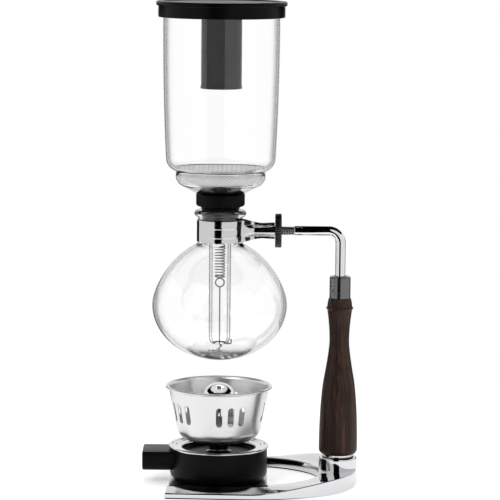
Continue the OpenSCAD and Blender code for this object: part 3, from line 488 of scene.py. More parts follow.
def base_line(q, centre, half_length, half_width, full=2.0):
    """Plan of the base at station q: for |q| up to 1 a rounded end, x = centre + half_length cos(90q) ^ (2 /
    full) and y = half_width sin(90q) ^ (2 / full), and from 1 to 2 an arm that runs to the tip and closes by
    ARM_TOE."""
    w = np.clip(np.abs(q) - 1, 0, 1)
    cosine = np.clip(np.cos(np.pi / 2 * q), 0, 1) ** (2 / full)
    sine = np.sign(q) * np.abs(np.sin(np.pi / 2 * q)) ** (2 / full)
    x = np.where(w > 0, centre + (TIP_X - centre) * w, centre + half_length * cosine)
    y = np.where(w > 0, np.sign(q) * (half_width - ARM_TOE * w), half_width * sine)
    return np.stack([x, y], axis=-1)


def rounded(corners, sizes, steps=4):
    """Rounds each corner of many sections at once: the two points that lie size before and after the corner
    are joined by a curve that leans to the corner."""
    before, after = np.roll(corners, 1, axis=1) - corners, np.roll(corners, -1, axis=1) - corners
    size = np.array(sizes)[None, :, None]
    first = corners + before / np.linalg.norm(before, axis=2, keepdims=True) * size
    last = corners + after / np.linalg.norm(after, axis=2, keepdims=True) * size
    return bend(first, corners, last, steps).reshape(len(corners), -1, 2)


print("the round end reaches x and y", base_line(0.0, CENTRE_OUT, ROUND_OUT, HALF_OUT).tolist())


# %% The horseshoe casting
TIP_SHARE = 1 / 6  # the share of an arm over which its end is cut back
arm_q = np.concatenate([np.linspace(-2, -2 + TIP_SHARE, 6), np.linspace(-1.8, -1.05, 10)])
q = np.concatenate([arm_q, np.linspace(-1, 1, 121), -arm_q[::-1]])
inner = base_line(q, CENTRE_IN, ROUND_IN, HALF_IN)
outer = base_line(q, CENTRE_OUT, ROUND_OUT, HALF_OUT, full=2.3)
width = np.linalg.norm(outer - inner, axis=1)
across = (outer - inner) / width[:, None]
ahead = outer[:, 0] - CENTRE_OUT
crest = CREST_ARM + (CREST_ROUND - CREST_ARM) * ease((ahead - 2.5) / (ROUND_OUT - 12))
round_share = ease((ahead + 5) / 45)
flat = FLAT_ARM + (FLAT_ROUND - FLAT_ARM) * round_share
top = ARM_TOP + (BASE_TOP - ARM_TOP) * round_share
zero, foot = 0 * width, 0 * width + BASE_Z
corners = np.stack([np.stack([zero, foot], 1), np.stack([zero + DRAFT, top], 1),
                    np.stack([flat + DRAFT, top], 1), np.stack([width, crest], 1),
                    np.stack([width, foot], 1)], axis=1)
section = rounded(corners, [0.4, 0.9, 0.5, 0.9, 0.4])
near_tip = np.clip(np.abs(q) - 2 + TIP_SHARE, 0, 1)[:, None] / TIP_SHARE
setback = near_tip * TIP_RAKE * (section[:, :, 1] - BASE_Z) / (BASE_TOP - BASE_Z)
plan = inner[:, None] + section[:, :, :1] * across[:, None] + np.stack([setback, 0 * setback], -1)
casting = loft("horseshoe_casting", np.concatenate([plan, section[:, :, 1:]], axis=-1), sharp=50)
fit(casting, "stand", "base_frame", chrome_casting)

# %% The boss under the handle
fit(turn("handle_boss", [0, BASE_Z], [14.25, BASE_Z], arc([11.85, 18.1], 2.4, 0, 90, 12), [10.85, BOSS_TOP],
         [10.85, HANDLE_Z], [0, HANDLE_Z], centre=0), "stand", "base_frame", chrome_casting)

# %% [markdown]
# The handle is turned from one piece of wenge: a full lower half for the palm, a waist for the fingers, and a
# small collar under the metal ferrule. Each part of the outline is a curve that leans towards a point, the
# way that a turner's gouge sweeps.

# %% Handle and ferrule
k = HANDLE_LEN / 114.9
fit(turn("turned_handle", [4, 0], [10.3, 0], arc([10.4, 3.7], 3.9, -90, 0, 10),
         bend([14.3, 8 * k], [14.2, 34 * k], [11.5, 54 * k], 16),
         bend([11.1, 56 * k], [7.4, 76 * k], [7.3, 83.3 * k], 16),
         bend([7.3, 84 * k], [7.3, 94 * k], [9.2, 106.4 * k], 16), arc([9.4, 107.6 * k], 0.7, -60, 60, 8),
         [9.3, 108.6 * k], [9.0, 111 * k], bend([8.9, 112 * k], [8.4, 114.4 * k], [8.0, HANDLE_LEN], 6),
         [4, HANDLE_LEN], centre=0, height=HANDLE_Z, steps=128), "stand", "wooden_handle", wenge)
fit(turn("handle_ferrule", [3.8, 0], [7.6, 0], [7.8, 0.2], [7.8, 15.0], arc([6.7, 15.2], 1.1, 0, 90, 8),
         [5.1, 16.3], bend([5.0, 16.2], [4.6, 15.5], [3.8, 15.2], 4), centre=0, height=FERRULE_Z, steps=128),
    "stand", "ferrule", dark_nickel)

# %% [markdown]
# The arm is one rod, bent through a right angle and threaded at its end. The rod is a circle carried along
# its path. The thread is a surface of its own: its radius falls and rises once for every pitch along the rod,
# and the place of the groove moves on by one pitch for each turn round it.

# %% Bent rod
BEND_R, ROD_R, STUD_ROOT = 8.5, 3.75, -34.7


def upright(points, x=0.0):
    """Stands (across, height) points in the upright plane of the arm, moved by x."""
    across, height = np.array(points, float).T
    return xyz(across + x, 0, height)


path = upright([[0, 12], [0, 60], [0, 120], *arc([-BEND_R, ARM_Z - BEND_R], BEND_R, 0, 90, 24), [-20, ARM_Z],
                [STUD_ROOT + 0.9, ARM_Z], [STUD_ROOT + 0.5, ARM_Z], [STUD_ROOT, ARM_Z]])
radius = np.concatenate([np.full(len(path) - 2, ROD_R), [ROD_R - 0.15, 3.3]])
fit(tube("bent_rod", path, radius, sides=64), "stand", "support_arm", chrome_rod)

# %% Threaded stud
# The radius is the full one less the depth times a rounded zigzag of (distance / pitch less angle / full
# turn). Over the last millimetre it fades to a cone.
STUD_LEN, STUD_R, PITCH, DEPTH = 31.8, 3.3, 1.25, 0.5
s = np.linspace(0, STUD_LEN, int(STUD_LEN / PITCH * 8) + 1)[:, None]
a = around(32).T
phase = s / PITCH - a / (2 * np.pi)
zigzag = np.abs(2 * (phase - np.floor(phase + 0.5)))
r = STUD_R - DEPTH * np.clip(1.15 * zigzag - 0.1, 0, 1)
r = np.minimum(r, STUD_R - np.clip(s - STUD_LEN + 1, 0, 1))
stud = loft("threaded_stud", xyz(STUD_ROOT + 0.3 - s, r * np.cos(a), ARM_Z + r * np.sin(a)), sharp=60)
fit(stud, "stand", "support_arm", cut_steel)

# %% Thumb nut
# The outline is (radius, distance along the stud). Sixty teeth are cut into its edge by a squared cosine.
NUT_X, NUT_HALF, TEETH, TOOTH_DEPTH = -46.1, 2.4, 60, 0.28
rim = outline([3.35, -NUT_HALF], [11.6, -NUT_HALF], arc([11.9, -1.8], 0.6, -90, 0, 5),
              arc([11.9, 1.8], 0.6, 0, 90, 5), [11.6, NUT_HALF], [10.6, NUT_HALF], [10.3, 2.1], [6.0, 2.1],
              [5.7, NUT_HALF], [3.35, NUT_HALF])
a = around(8 * TEETH)
r = rim[:, 0] - TOOTH_DEPTH * np.clip((rim[:, 0] - 11.5) / 0.9, 0, 1) * (0.5 + 0.5 * np.cos(TEETH * a)) ** 2
nut = loft("knurled_thumb_nut", xyz(NUT_X + rim[:, 1], r * np.sin(a), ARM_Z + r * np.cos(a)), sharp=35,
           ring=True)
fit(nut, "thumb_nut", "thumb_nut", nut_nickel)

# %% [markdown]
# ## The flask and its clamp
# The flask is blown: a globe that is a little flat below, shoulders that sweep up into the neck, and a rolled
# lip. Its outline goes up outside, round the lip and back down inside, so that the wall is real and bends
# light twice.

# %% Flask
GLOBE_Z, GLOBE_R, GLASS = 133.3, 50, 1.8
LIP_TOP = ARM_Z + 15.1


def globe_side(wall, r):
    """The globe from its bottom to its shoulder, and a soft curve from there into a neck of radius r. At
    angle a from the widest line the radius goes with the cosine, and the way up or down goes with the sine
    times a depth that is 41 below and grows from 32 to 49.3 above."""
    up = np.sin(np.linspace(-np.pi / 2, math.acos((r + 2.2) / (GLOBE_R - wall)), 80))
    depth = np.where(up < 0, 41, 32 + 17.3 * up) - wall
    side = np.stack([(GLOBE_R - wall) * np.sqrt(1 - up**2), GLOBE_Z + depth * up], axis=-1)
    return np.concatenate([side, bend(side[-1], [r, side[-1, 1] + 1.1], [r, side[-1, 1] + 3.6], 8)])


fit(turn("blown_flask", globe_side(0, 16.4), [16.4, LIP_TOP - 4.8],
         arc([16.8, LIP_TOP - 2.4], 2.4, -60, 90, 16), arc([14.7, LIP_TOP - 0.9], 0.9, 90, 180, 6),
         globe_side(GLASS, 13.8)[::-1], sharp=70), "flask", "flask_glass", clear_glass)

# %% [markdown]
# The clamp is one strip of steel, pressed so that it closes round the neck and then narrows into two tails
# that hug the stud like half tubes. Two ribs across its front stiffen it. Both skins of the strip are grids
# over the way along the strip and the height across it, and the same formulas give the inner skin and, with
# the radius moved out, the outer one. Each section of the strip is the outer skin's line and the inner one's
# back.

# %% Clamp band
RING_IN, BAND_T, BAND_HALF, RIB, TAIL_END, OPEN = 16.6, 0.8, 7.9, 0.3, 40.2, math.radians(28)
WAIST, TIP_HALF = 5.6, 6.0  # half heights of a tail


def band_skin(grow):
    """One skin, grow outside the inner one. Tails: x runs straight out, and y goes softly from the ring's end
    to a half tube round the stud with a flat flange above and below it. Ring: a circle, raised on two soft
    ribs."""
    v = np.linspace(-1, 1, 41)[None, :]
    ring_r, r, flange = RING_IN + grow, 3.65 + grow, 0.5 + grow
    w = np.linspace(1, 0, 36)[:-1, None]
    flare = ease((w - 0.55) * 2.2)
    z = v * ((BAND_HALF + (WAIST - BAND_HALF) * ease(w * 1.5)) * (1 - flare) + TIP_HALF * flare)
    cheek = np.maximum(flange, np.sqrt(np.maximum(0, r * r - z * z)))
    root_x, root_y = ring_r * math.cos(OPEN), ring_r * math.sin(OPEN)
    y = root_y + (cheek - root_y) * ease(w * 2.2 + 0.12)
    x = root_x + (TAIL_END - root_x) * w
    a = np.linspace(-OPEN, OPEN - 2 * np.pi, 141)[:, None]
    from_front = np.abs(np.degrees(a) + 90)
    swell = RIB * ease((52 - from_front) / 10) * ease(1.6 - np.abs(np.abs(v) - 0.42) / 0.12)
    ring = xyz((ring_r + swell) * np.cos(a), (ring_r + swell) * np.sin(a), v * BAND_HALF)
    return np.concatenate([xyz(x, -y, z), ring, xyz(x, y, z)[::-1]]) + [POT, 0, ARM_Z]


outer_skin, inner_skin = band_skin(BAND_T), band_skin(0)[:, ::-1]
rows, columns = outer_skin.shape[:2]
j = np.arange(columns - 1)
end = np.stack([j, j + 1, 2 * columns - 2 - j, 2 * columns - 1 - j], axis=1)
faces = np.concatenate([grid_faces(rows, 2 * columns, wrap_columns=True), end,
                        end[:, [0, 3, 2, 1]] + (rows - 1) * 2 * columns])
band = mesh_piece("pressed_clamp_band", np.concatenate([outer_skin, inner_skin], axis=1), faces, sharp=50)
fit(band, "flask", "clamp_band", polished_strip)

# %% [markdown]
# ## The upper chamber
# The chamber is one piece of glass: a stem with a fire-polished tip, a cup that seats the filter, and a
# barrel that widens a little to the rim. Its stem wears a rubber stopper, whose plug fits the flask's mouth.

# %% Upper chamber
STOP_Z, STOP_TOP, STEM_R, STEM_Z = 204.2, 216.2, 8.1, 104.2
CUP_R, CUP_CORNER, CUP_SLOPE, CUP_FLAT, BARREL_LOW, BARREL_TOP = 33.2, 8.0, 28.0, 18.0, 40.5, 42.9
SHOULDER_Z, RIM_Z = STOP_TOP + 26.2, STOP_TOP + 137.8
slope = math.radians(CUP_SLOPE)
CUP_LOW_R = CUP_R - CUP_CORNER + CUP_CORNER * math.sin(slope)
CUP_Z = STOP_TOP + (CUP_LOW_R - CUP_FLAT) * math.tan(slope) + CUP_CORNER * math.cos(slope)


def chamber_side(wall):
    """The chamber from the stem to just below the rim, moved in by the wall. Above the shoulder the radius is
    the rim's less a gap that shrinks with the power 2.5 of the way still to go."""
    z = np.linspace(SHOULDER_Z, RIM_Z - GLASS / 2, 28)[1:]
    r = BARREL_TOP - (BARREL_TOP - BARREL_LOW) * (1 - (z - SHOULDER_Z) / (RIM_Z - SHOULDER_Z)) ** 2.5 - wall
    return np.concatenate([
        arc([STEM_R + 2, STOP_TOP - 2], 2 + wall, 180, 90, 10),
        [[CUP_FLAT - wall * math.tan(slope / 2), STOP_TOP + wall]],
        arc([CUP_R - CUP_CORNER, CUP_Z], CUP_CORNER - wall, CUP_SLOPE - 90, 0, 20),
        [[CUP_R - wall, SHOULDER_Z - 9.8 + wall * 0.9]],
        arc([BARREL_LOW - 10, SHOULDER_Z], 10 - wall, -68, 0, 18),
        np.stack([r, z], axis=1)])


fit(turn("blown_upper_chamber", bend([STEM_R - 1.8, STEM_Z], [STEM_R - 0.3, STEM_Z + 1.6],
                                     [STEM_R, STEM_Z + 4.5], 8), chamber_side(0),
         arc([BARREL_TOP - GLASS / 2, RIM_Z - GLASS / 2], GLASS / 2, 20, 160, 10), chamber_side(GLASS)[::-1],
         bend([STEM_R - 3.6, STEM_Z], [STEM_R - 2.2, STEM_Z + 2.0], [STEM_R - GLASS, STEM_Z + 4.9], 8)[::-1],
         sharp=75), "chamber", "upper_chamber", clear_glass)

# %% Rubber stopper
# Heights count from the lower edge of its head.
fit(turn("stem_stopper", [8.15, -20], bend([11.9, -20], [12.5, -20], [12.6, -19.2], 5), [13.5, -0.4],
         bend([13.8, 0], [14.2, 2.2], [16.2, 2.6], 6), bend([16.6, 2.7], [17.8, 3.0], [18.0, 4.3], 6),
         [18.0, 11.2], arc([17.3, 11.3], 0.7, 0, 90, 6), [10.5, 12], [8.15, 9.6], height=STOP_Z), "chamber",
    "rubber_stopper", black_rubber)

# %% [markdown]
# ## Wire, beads and spring
# A spring pulls the filter down into its seat. It ends in a wire that hooks round the tip of the stem, and a
# short ball chain hangs from the hook so that boiling starts quietly. The wire is a tube along a path of
# arcs. The spring is a tube along a helix, and its last turn at each end lies flat, as a wound spring's does.

# %% Hook and ball chain
RING_Z, RING_R, HOOK_Z, HOOK_X, WIRE_R, TURN, BEAD_R = 149.7, 3.2, 103.6, 8.7, 0.5, 1.2, 1.2
eye = tube("wire_eye", upright(arc([0, RING_Z], RING_R, 0, 360, 48)[:-1], POT), WIRE_R, 16, closed=True)
route = [[0, RING_Z - RING_R], [0, 125], *arc([TURN, HOOK_Z + TURN], TURN, 180, 270, 10),
         *arc([HOOK_X - TURN, HOOK_Z + TURN], TURN, 270, 360, 10), [HOOK_X, HOOK_Z + TURN + 2.4]]
wire = tube("wire_stem", upright(route, POT), WIRE_R, 16)
fit(joined("stem_hook", [eye, wire]), "chamber", "hook_wire", drawn_wire)

link = np.array([[1.2, -0.45, -0.85], [1, -1, -1.6], [-0.6, -1.6, -4.2], [-3.2, -2, -6], [-6.2, -2.2, -6.4],
                 [-8.6, -0.4, -6.2], [-7.8, 2.4, -6.3], [-5, 3.6, -6.5], [-2, 3.2, -6.7], [0.6, 1.6, -6.8],
                 [3, 0, -6.7]]) + [POT, 0, HOOK_Z]
v, u = np.linspace(-np.pi / 2, np.pi / 2, 13)[:, None], around(20).T
ball = BEAD_R * xyz(np.cos(v) * np.cos(u), np.cos(v) * np.sin(u), np.sin(v))
balls = [loft("bead", ball + centre, 180) for centre in link[1:]]
fit(joined("ball_chain", [tube("chain_link", link, 0.4, 12), *balls]), "chamber", "bead_chain",
    bead_nickel)

# %% Spring
SPRING_FOOT, SPRING_TOP, TURNS, COIL_R, COIL_W = 153.7, 213.2, 30, 3.6, 0.4
t = np.linspace(0, TURNS, TURNS * 24 + 1)
rise = np.clip((t - 1) / (TURNS - 2), 0, 1)
z = SPRING_FOOT + COIL_W + rise * (SPRING_TOP - SPRING_FOOT - 2 * COIL_W)
coil = xyz(POT + COIL_R * np.cos(2 * np.pi * t), COIL_R * np.sin(2 * np.pi * t), z)
spring = tube("filter_pull_spring", coil, COIL_W, sides=8)
spring.data.materials.append(drawn_wire)
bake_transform(spring)
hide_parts("filter_spring")
print("spring of", TURNS, "turns,", len(spring.data.polygons), "faces")

# %% [markdown]
# ## The filter
# The cloth is drawn tight over a perforated plate, so it is a low cushion with a flat top and a rounded edge.
# Its top sags a hair between the edge and the middle, and gathers run in towards the knob below.

# %% Cloth filter and its knob
CLOTH_R, CLOTH_FOOT, CLOTH_TOP, CROWN_R, GATHER, KNOB_Z = 31.1, 220.6, CUP_Z + 4.8, 27.2, 0.22, 207.2
bag = outline([0, CLOTH_FOOT], [6, CLOTH_FOOT + 0.1], [12, CLOTH_FOOT + 0.4], [CUP_FLAT, CLOTH_FOOT + 0.6],
              bend([CUP_LOW_R - 1.4, CUP_Z - 3.9], [CLOTH_R, CUP_Z - 2], [CLOTH_R, CUP_Z + 1], 14),
              bend([CLOTH_R - 0.1, CUP_Z + 2.4], [CLOTH_R - 0.9, CLOTH_TOP], [CROWN_R, CLOTH_TOP], 12),
              [24, CLOTH_TOP - 0.1], [18, CLOTH_TOP - 0.3], [10, CLOTH_TOP - 0.4], [0, CLOTH_TOP - 0.45])
a = around(288)
below = np.clip((CUP_Z - bag[:, 1]) / 6, 0, 1) * np.clip(bag[:, 0] / 12, 0, 1)
gather = GATHER * below * (np.sin(36 * a) + 0.6 * np.sin(23 * a + 1.0)) / 1.6
cloth = spin("cloth_filter", bag[:, 0] * (1 - 0.003 * below) + np.minimum(gather, 0),
             bag[:, 1] + 0.12 * below, sharp=180)
fit(cloth, "filter", "filter_cloth", twill)
fit(turn("filter_knob", [0, 0], [2.4, 0], [2.8, 0.5], [2.8, 6.1], [4.4, 6.1], arc([4.6, 6.7], 0.6, -90, 0, 4),
         [5.2, 10.6], bend([5.2, 10.7], [5.2, 12.7], [4.4, 13.4], 5), [0, 13.4], steps=96, height=KNOB_Z),
    "filter", "filter_nut", dark_nickel)

# %% [markdown]
# ## The lid
# The lid is moulded: a flange to lift it by, a skirt that goes round the chamber's rim, and a long tube.
# Turned over, it stands on the table, and the tube holds the chamber by its stem.

# %% Lid and its tube
# Heights count from the lid's top, and the tube's from its foot.
fit(turn("moulded_lid", [0, -3], [15.05, -3], [15.05, -8], [17.0, -8], [17.6, -3], [38.4, -3], [38.4, -8],
         [40.4, -8], [40.4, -3], [43.8, -3], [43.8, -11.7], arc([45.9, -11.1], 0.6, -90, 0, 5), [46.5, -3.6],
         bend([46.6, -3.4], [46.7, -3.2], [47.4, -3.2], 4), arc([47.5, -2.7], 0.5, -90, 0, 4),
         arc([46.8, -1.2], 1.2, 0, 90, 8), [43.6, 0], bend([43.4, 0], [43.0, -0.8], [42.4, -0.8], 4),
         [20, -0.8], [0, -0.8], height=RIM_Z + 3.3, steps=192, sharp=50), "lid", "lid_cap",
    black_plastic)
fit(turn("lid_stand_tube", bend([13.5, 0.8], [13.7, 0], [14.3, 0], 5), arc([14.9, 0.5], 0.5, -90, 0, 6),
         [15.4, 1.3], bend([15.4, 1.4], [15, 1.8], [15, 2.6], 5), [15, 60.8], [13.5, 60.8],
         height=RIM_Z - 60.5, steps=128), "lid", "stand_tube", grey_plastic)

# %% [markdown]
# ## The burner
# The housing is a moulded cup with a tab to pull it out by. In it sits a metal tank, closed by a pressed top
# with a rolled edge, two low steps and a deep dish, covered by a black layer of painted shade and painted
# dark reflection from the bowl above. From the dish rises a neck with the seat that carries the wind bowl.

# %% Housing
HOUSING_Z, HOUSING_TOP, HOUSING_R, HOUSING_WALL, DISH_Z = 2.3, 26.5, 36.3, 2.5, 22.3
cup = turn("burner_cup", [0, HOUSING_Z], arc([HOUSING_R - 6, HOUSING_Z + 6], 6, -90, 0, 16),
           [HOUSING_R, HOUSING_TOP], [HOUSING_R - HOUSING_WALL, HOUSING_TOP],
           [HOUSING_R - HOUSING_WALL, HOUSING_Z + HOUSING_WALL], [0, HOUSING_Z + HOUSING_WALL], steps=192)
print("cup:", len(cup.data.polygons), "faces")

# %% [markdown]
# The tab is a rounded block that grows out of the cup. Its section is a rectangle with two large lower
# corners, and it is carried from inside the wall to the front, where the last sections shrink along a quarter
# circle, which rounds the front edge.

# %% Pull tab
TAB_REACH, TAB_HALF, TAB_Z, TAB_H, LOWER, UPPER, FRONT = 56.6, 15.0, 9.9, 14.6, 5.8, 0.8, 1.2
tab_top = TAB_Z + TAB_H
tab_line = np.concatenate([arc([TAB_HALF - LOWER, TAB_Z + LOWER], LOWER, -90, 0, 10),
                           arc([TAB_HALF - UPPER, tab_top - UPPER], UPPER, 0, 90, 4),
                           arc([UPPER - TAB_HALF, tab_top - UPPER], UPPER, 90, 180, 4),
                           arc([LOWER - TAB_HALF, TAB_Z + LOWER], LOWER, 180, 270, 10)])
quarter = np.radians(np.linspace(0, 90, 8))
reach = np.concatenate([[31.0, 50.0], TAB_REACH - FRONT + FRONT * np.sin(quarter)])[:, None, None]
shrink = np.concatenate([[0, 0], FRONT * (1 - np.cos(quarter))])[:, None, None]
middle = np.array([0, TAB_Z + TAB_H / 2])
profile = middle + (tab_line - middle) * (1 - shrink / np.array([TAB_HALF, TAB_H / 2]))
tab = loft("pull_tab", np.concatenate([POT - reach + 0 * profile[:, :, :1], profile], axis=-1), sharp=50)
fit(joined("burner_housing_with_tab", [cup, tab]), "burner", "burner_housing", black_plastic)

# %% Tank top
# Heights count from the housing's top, and the black layer's from the dish. That layer is painted shade and a
# painted dark reflection under the wind bowl.
fit(turn("pressed_tank_top", arc([36.5, 0.7], 0.9, -40, 90, 12), [34.8, 1.5], [34.4, 0.9], [32.0, 0.9],
         [31.6, 0.3], [28.8, 0.2], bend([28.2, 0], [27.4, -0.4], [27.3, -1.4], 6),
         bend([27.0, -2.8], [27.0, -4.2], [25.6, -4.2], 6), [4.55, -4.2], [4.55, -5.0], [26.2, -5.0],
         [27.8, -3.7], [28.4, -1.2], [29.2, -0.6], [33.6, 0], [37.1, 0], height=HOUSING_TOP, steps=192),
    "burner", "tank_top", pressed_steel)
# A thin black layer on the dish floor: painted shade and a painted dark reflection under the wind bowl.
fit(turn("dish_painted_black_for_shade", [9.3, 0.15], [25.5, 0.15], bend([25.6, 0.15], [26.85, 0.15], [26.9, 1.4], 6),
         [27.15, 3.0], [27.45, 3.0], [27.2, 1.2], [25.8, -0.2], [9.3, -0.2], height=DISH_Z, steps=128),
    "burner", "tank_top", black_plastic)

# %% Neck, wick tube and wick
# Heights count from the dish, the wick tube's collar and the wick's top.
fit(turn("burner_neck_and_seat", [4.55, 0], [9.5, 0], [9.5, 0.8], [9.1, 1.2],
         bend([7.6, 1.4], [6.9, 1.6], [6.9, 2.6], 5), bend([6.9, 6.1], [7.0, 8.5], [11, 8.5], 8), [16.6, 8.5],
         arc([16.5, 9.1], 0.5, -60, 0, 4), [17.0, 9.7], [4.55, 9.7], height=DISH_Z, steps=128), "burner",
    "burner_neck", dark_nickel)
COLLAR_Z, WICK_TOP = 50.3, 59.6
fit(turn("wick_holder", [3.35, -37.8], [4.5, -37.8], [4.5, 0], [11.55, 0], [11.85, 0.3], [11.85, 1], [4.5, 1],
         [4.5, 5.9], [4.1, 6.3], [3.35, 6.3], height=COLLAR_Z, steps=96), "burner", "wick_tube",
    sheet_steel)
fit(turn("cotton_wick", [0, -53.7], [3.3, -53.7], [3.3, -0.8], bend([3.3, -0.7], [3.1, 0], [2.4, 0], 4),
         [1.0, -0.2], [0, -0.3], height=WICK_TOP, steps=64), "burner", "wick", plait)

# %% [markdown]
# ## The wind bowl
# The bowl is spun from thin steel, rolled over at the rim, and pierced by groups of three upright slots. A
# Boolean cutter would leave long thin triangles that dent the shine. Here each slot gets a patch of its own:
# rings of points that start as the slot's outline and end as the patch's rectangle, laid on the cone of the
# wall. The patches and the plain strips share their edge points, so the skin closes, and Solidify gives it
# its 0.8 mm.

# %% The bowl's wall as a cone
BOWL_Z, BOWL_TOP, BOWL_HOLE, CORNER, LOW_R, WALL_TOP = 32.3, 72.9, 12.45, 10.0, 31.65, 37.2
LEAN = math.atan((WALL_TOP - LOW_R) / (BOWL_TOP - BOWL_Z - CORNER - 2))
LOW_POINT = (LOW_R - CORNER + CORNER * math.cos(LEAN), BOWL_Z + CORNER - CORNER * math.sin(LEAN))
HIGH_POINT = (WALL_TOP, BOWL_TOP - 2.7)
SLOT_MID, SLOT_HALF, SLOT_W, PATCH_HALF = BOWL_Z + 21.95, 7.25, 2.3, 9.2
PITCH_ROUND, GROUPS, FIRST = math.radians(14.7), 5, math.radians(15.7 - 90)


def cone_radius(z):
    """Radius of the straight wall at height z: a straight line between its lowest and highest point."""
    return LOW_POINT[0] + (HIGH_POINT[0] - LOW_POINT[0]) * (z - LOW_POINT[1]) / (HIGH_POINT[1] - LOW_POINT[1])


def on_bowl(angle, z, r=None):
    """Points of the bowl from their angle and height, on the cone unless a radius is given."""
    r = cone_radius(z) if r is None else r
    return xyz(POT + r * np.cos(angle), r * np.sin(angle), z)


print("the wall leans by", round(math.degrees(LEAN), 1), "degrees")


# %% One slot's patch
# The patch's edge has 20 steps up each side and 12 along its top and bottom. A slot is a rectangle with round
# ends, and each edge point's partner is where the line to the middle meets the slot: on a side, or on an
# end's half circle.
side, top = np.linspace(-1, 1, 21), np.linspace(1, -1, 13)
edge_u = np.concatenate([np.ones(20), top[:-1], -np.ones(20), -top[:-1]])
edge_v = np.concatenate([side[:-1], np.ones(12), -side[:-1], -np.ones(12)])
way = np.stack([edge_u * cone_radius(SLOT_MID) * math.sin(PITCH_ROUND / 2), edge_v * PATCH_HALF], axis=1)
way /= np.linalg.norm(way, axis=1)[:, None]
straight = SLOT_HALF - SLOT_W
to_side = SLOT_W / np.maximum(np.abs(way[:, 0]), 1e-9)
along = straight * np.abs(way[:, 1])
to_end = along + np.sqrt(np.maximum(along**2 - straight**2 + SLOT_W**2, 0))
slot = way * np.where(to_side * np.abs(way[:, 1]) <= straight, to_side, to_end)[:, None]
slot_angle = np.arcsin(slot[:, 0] / cone_radius(SLOT_MID + slot[:, 1]))
rings = np.array([0, 0.12, 0.4, 0.7, 1])[:, None]
patch_angle = slot_angle + (edge_u * PITCH_ROUND / 2 - slot_angle) * rings
patch_z = SLOT_MID + slot[:, 1] + (edge_v * PATCH_HALF - slot[:, 1]) * rings
print("slot patch:", patch_angle.size, "points")

# %% Patches, strips and bands of the whole bowl
points, faces, band_angles = [], [], []


def lay(grid, **wrap):
    """Adds one grid of points to the bowl, with its faces."""
    faces.append(grid_faces(*grid.shape[:2], start=sum(len(part) for part in points), **wrap))
    points.append(grid.reshape(-1, 3))


for group in range(GROUPS):
    middle = FIRST + group * 2 * math.pi / GROUPS
    for i in (-1, 0, 1):
        lay(on_bowl(patch_angle + middle + i * PITCH_ROUND, patch_z), wrap_columns=True)
        band_angles.append(middle + i * PITCH_ROUND + top[::-1][:-1] * PITCH_ROUND / 2)
    gap = np.linspace(middle + 1.5 * PITCH_ROUND, middle + 2 * math.pi / GROUPS - 1.5 * PITCH_ROUND, 17)
    lay(on_bowl(gap[:, None], SLOT_MID + side[None, :] * PATCH_HALF))
    band_angles.append(gap[:-1])
low_z, high_z, straight_top = SLOT_MID - PATCH_HALF, SLOT_MID + PATCH_HALF, BOWL_TOP - 4.2
floor_line = np.concatenate([[[BOWL_HOLE, BOWL_Z], [17, BOWL_Z]],
                             arc([LOW_R - CORNER, BOWL_Z + CORNER], CORNER, -90, -math.degrees(LEAN), 22),
                             [[cone_radius(low_z), low_z]]])
rim_curve = bend([WALL_TOP + 0.05, BOWL_TOP - 2.3], [WALL_TOP + 0.3, BOWL_TOP - 1.6],
                 [WALL_TOP + 0.9, BOWL_TOP - 0.9], 6)
rim_line = np.concatenate([[[cone_radius(high_z), high_z], [cone_radius(straight_top), straight_top],
                            HIGH_POINT], rim_curve])
for line in (floor_line, rim_line):
    lay(on_bowl(np.concatenate(band_angles)[:, None], line[:, 1], line[:, 0]), wrap_rows=True)
bowl = mesh_piece("slotted_wind_bowl", np.concatenate(points), np.concatenate(faces).tolist(), 60,
                  turn_out=False)
wall = bowl.modifiers.new("sheet", "SOLIDIFY")
wall.thickness, wall.offset, wall.use_even_offset = 0.8 * MM, -1, True
fit(bowl, "wind_bowl", "wind_bowl", spun_steel)
fit(turn("rolled_bowl_rim", arc([WALL_TOP + 1.25, BOWL_TOP - 1.05], 1.05, 0, 360, 20)[:-1], steps=192,
         sharp=180), "wind_bowl", "wind_bowl", spun_steel)

# %% [markdown]
# The snuffer is a small dome of polished steel that drops over the wick. Half a sphere on a short upright
# skirt, 1 mm thick, mirrors the whole room.

# %% Snuffer cap
CAP_Z, CAP_R, CAP_MIDDLE = 51.6, 13.25, [0, 9.8]
fit(turn("snuffer_dome", [CAP_R, 0], arc(CAP_MIDDLE, CAP_R, 0, 90, 32), arc(CAP_MIDDLE, CAP_R - 1, 90, 0, 32),
         [CAP_R - 1, 0], height=CAP_Z, steps=128), "snuffer_cap", "snuffer_cap",
    mirror_cap_metal)

# %% [markdown]
# ## Pieces that stay as they were packed
# The pad, the tray, the fasteners under the base, the tank and the plate inside the cloth are flat or hidden,
# so their own shapes serve. They only need the right finish.

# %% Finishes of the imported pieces
for node, material in {"base_pad": black_rubber, "base_tray": sheet_steel, "tray_screws": dark_nickel,
                       "base_bolt": dark_nickel, "base_washer": sheet_steel, "fuel_tank": sheet_steel,
                       "filter_plate": sheet_steel}.items():
    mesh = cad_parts[node].data
    mesh.materials.clear()
    mesh.materials.append(material)
    print(node, "is", material.name)

# %% [markdown]
# ## The studio
# A white room alone would turn mirror metal into plain white. Black cards hung round the set give it its
# dark streaks: one overhead, a tall one beside the camera, and two low ones behind the pot. Each
# standing card also lies on the table in front of itself, because upright metal seen from above mirrors the
# table. The cards only show in reflections, so they shade nothing, and metal mirrors none of the lamps. The
# floor is white and keeps a soft shadow.

# %% Floor


def seen_plainly(tree):
    """1 for a ray from the camera, and for one that a mirror or glass sends on, otherwise 0."""
    ray = add(tree, "LightPath").outputs
    mirrored = add(tree, "Math", {0: ray["Is Camera Ray"], 1: ray["Is Glossy Ray"]}, operation="MAXIMUM")
    return add(tree, "Math", {0: mirrored, 1: ray["Is Transmission Ray"]}, operation="MAXIMUM")


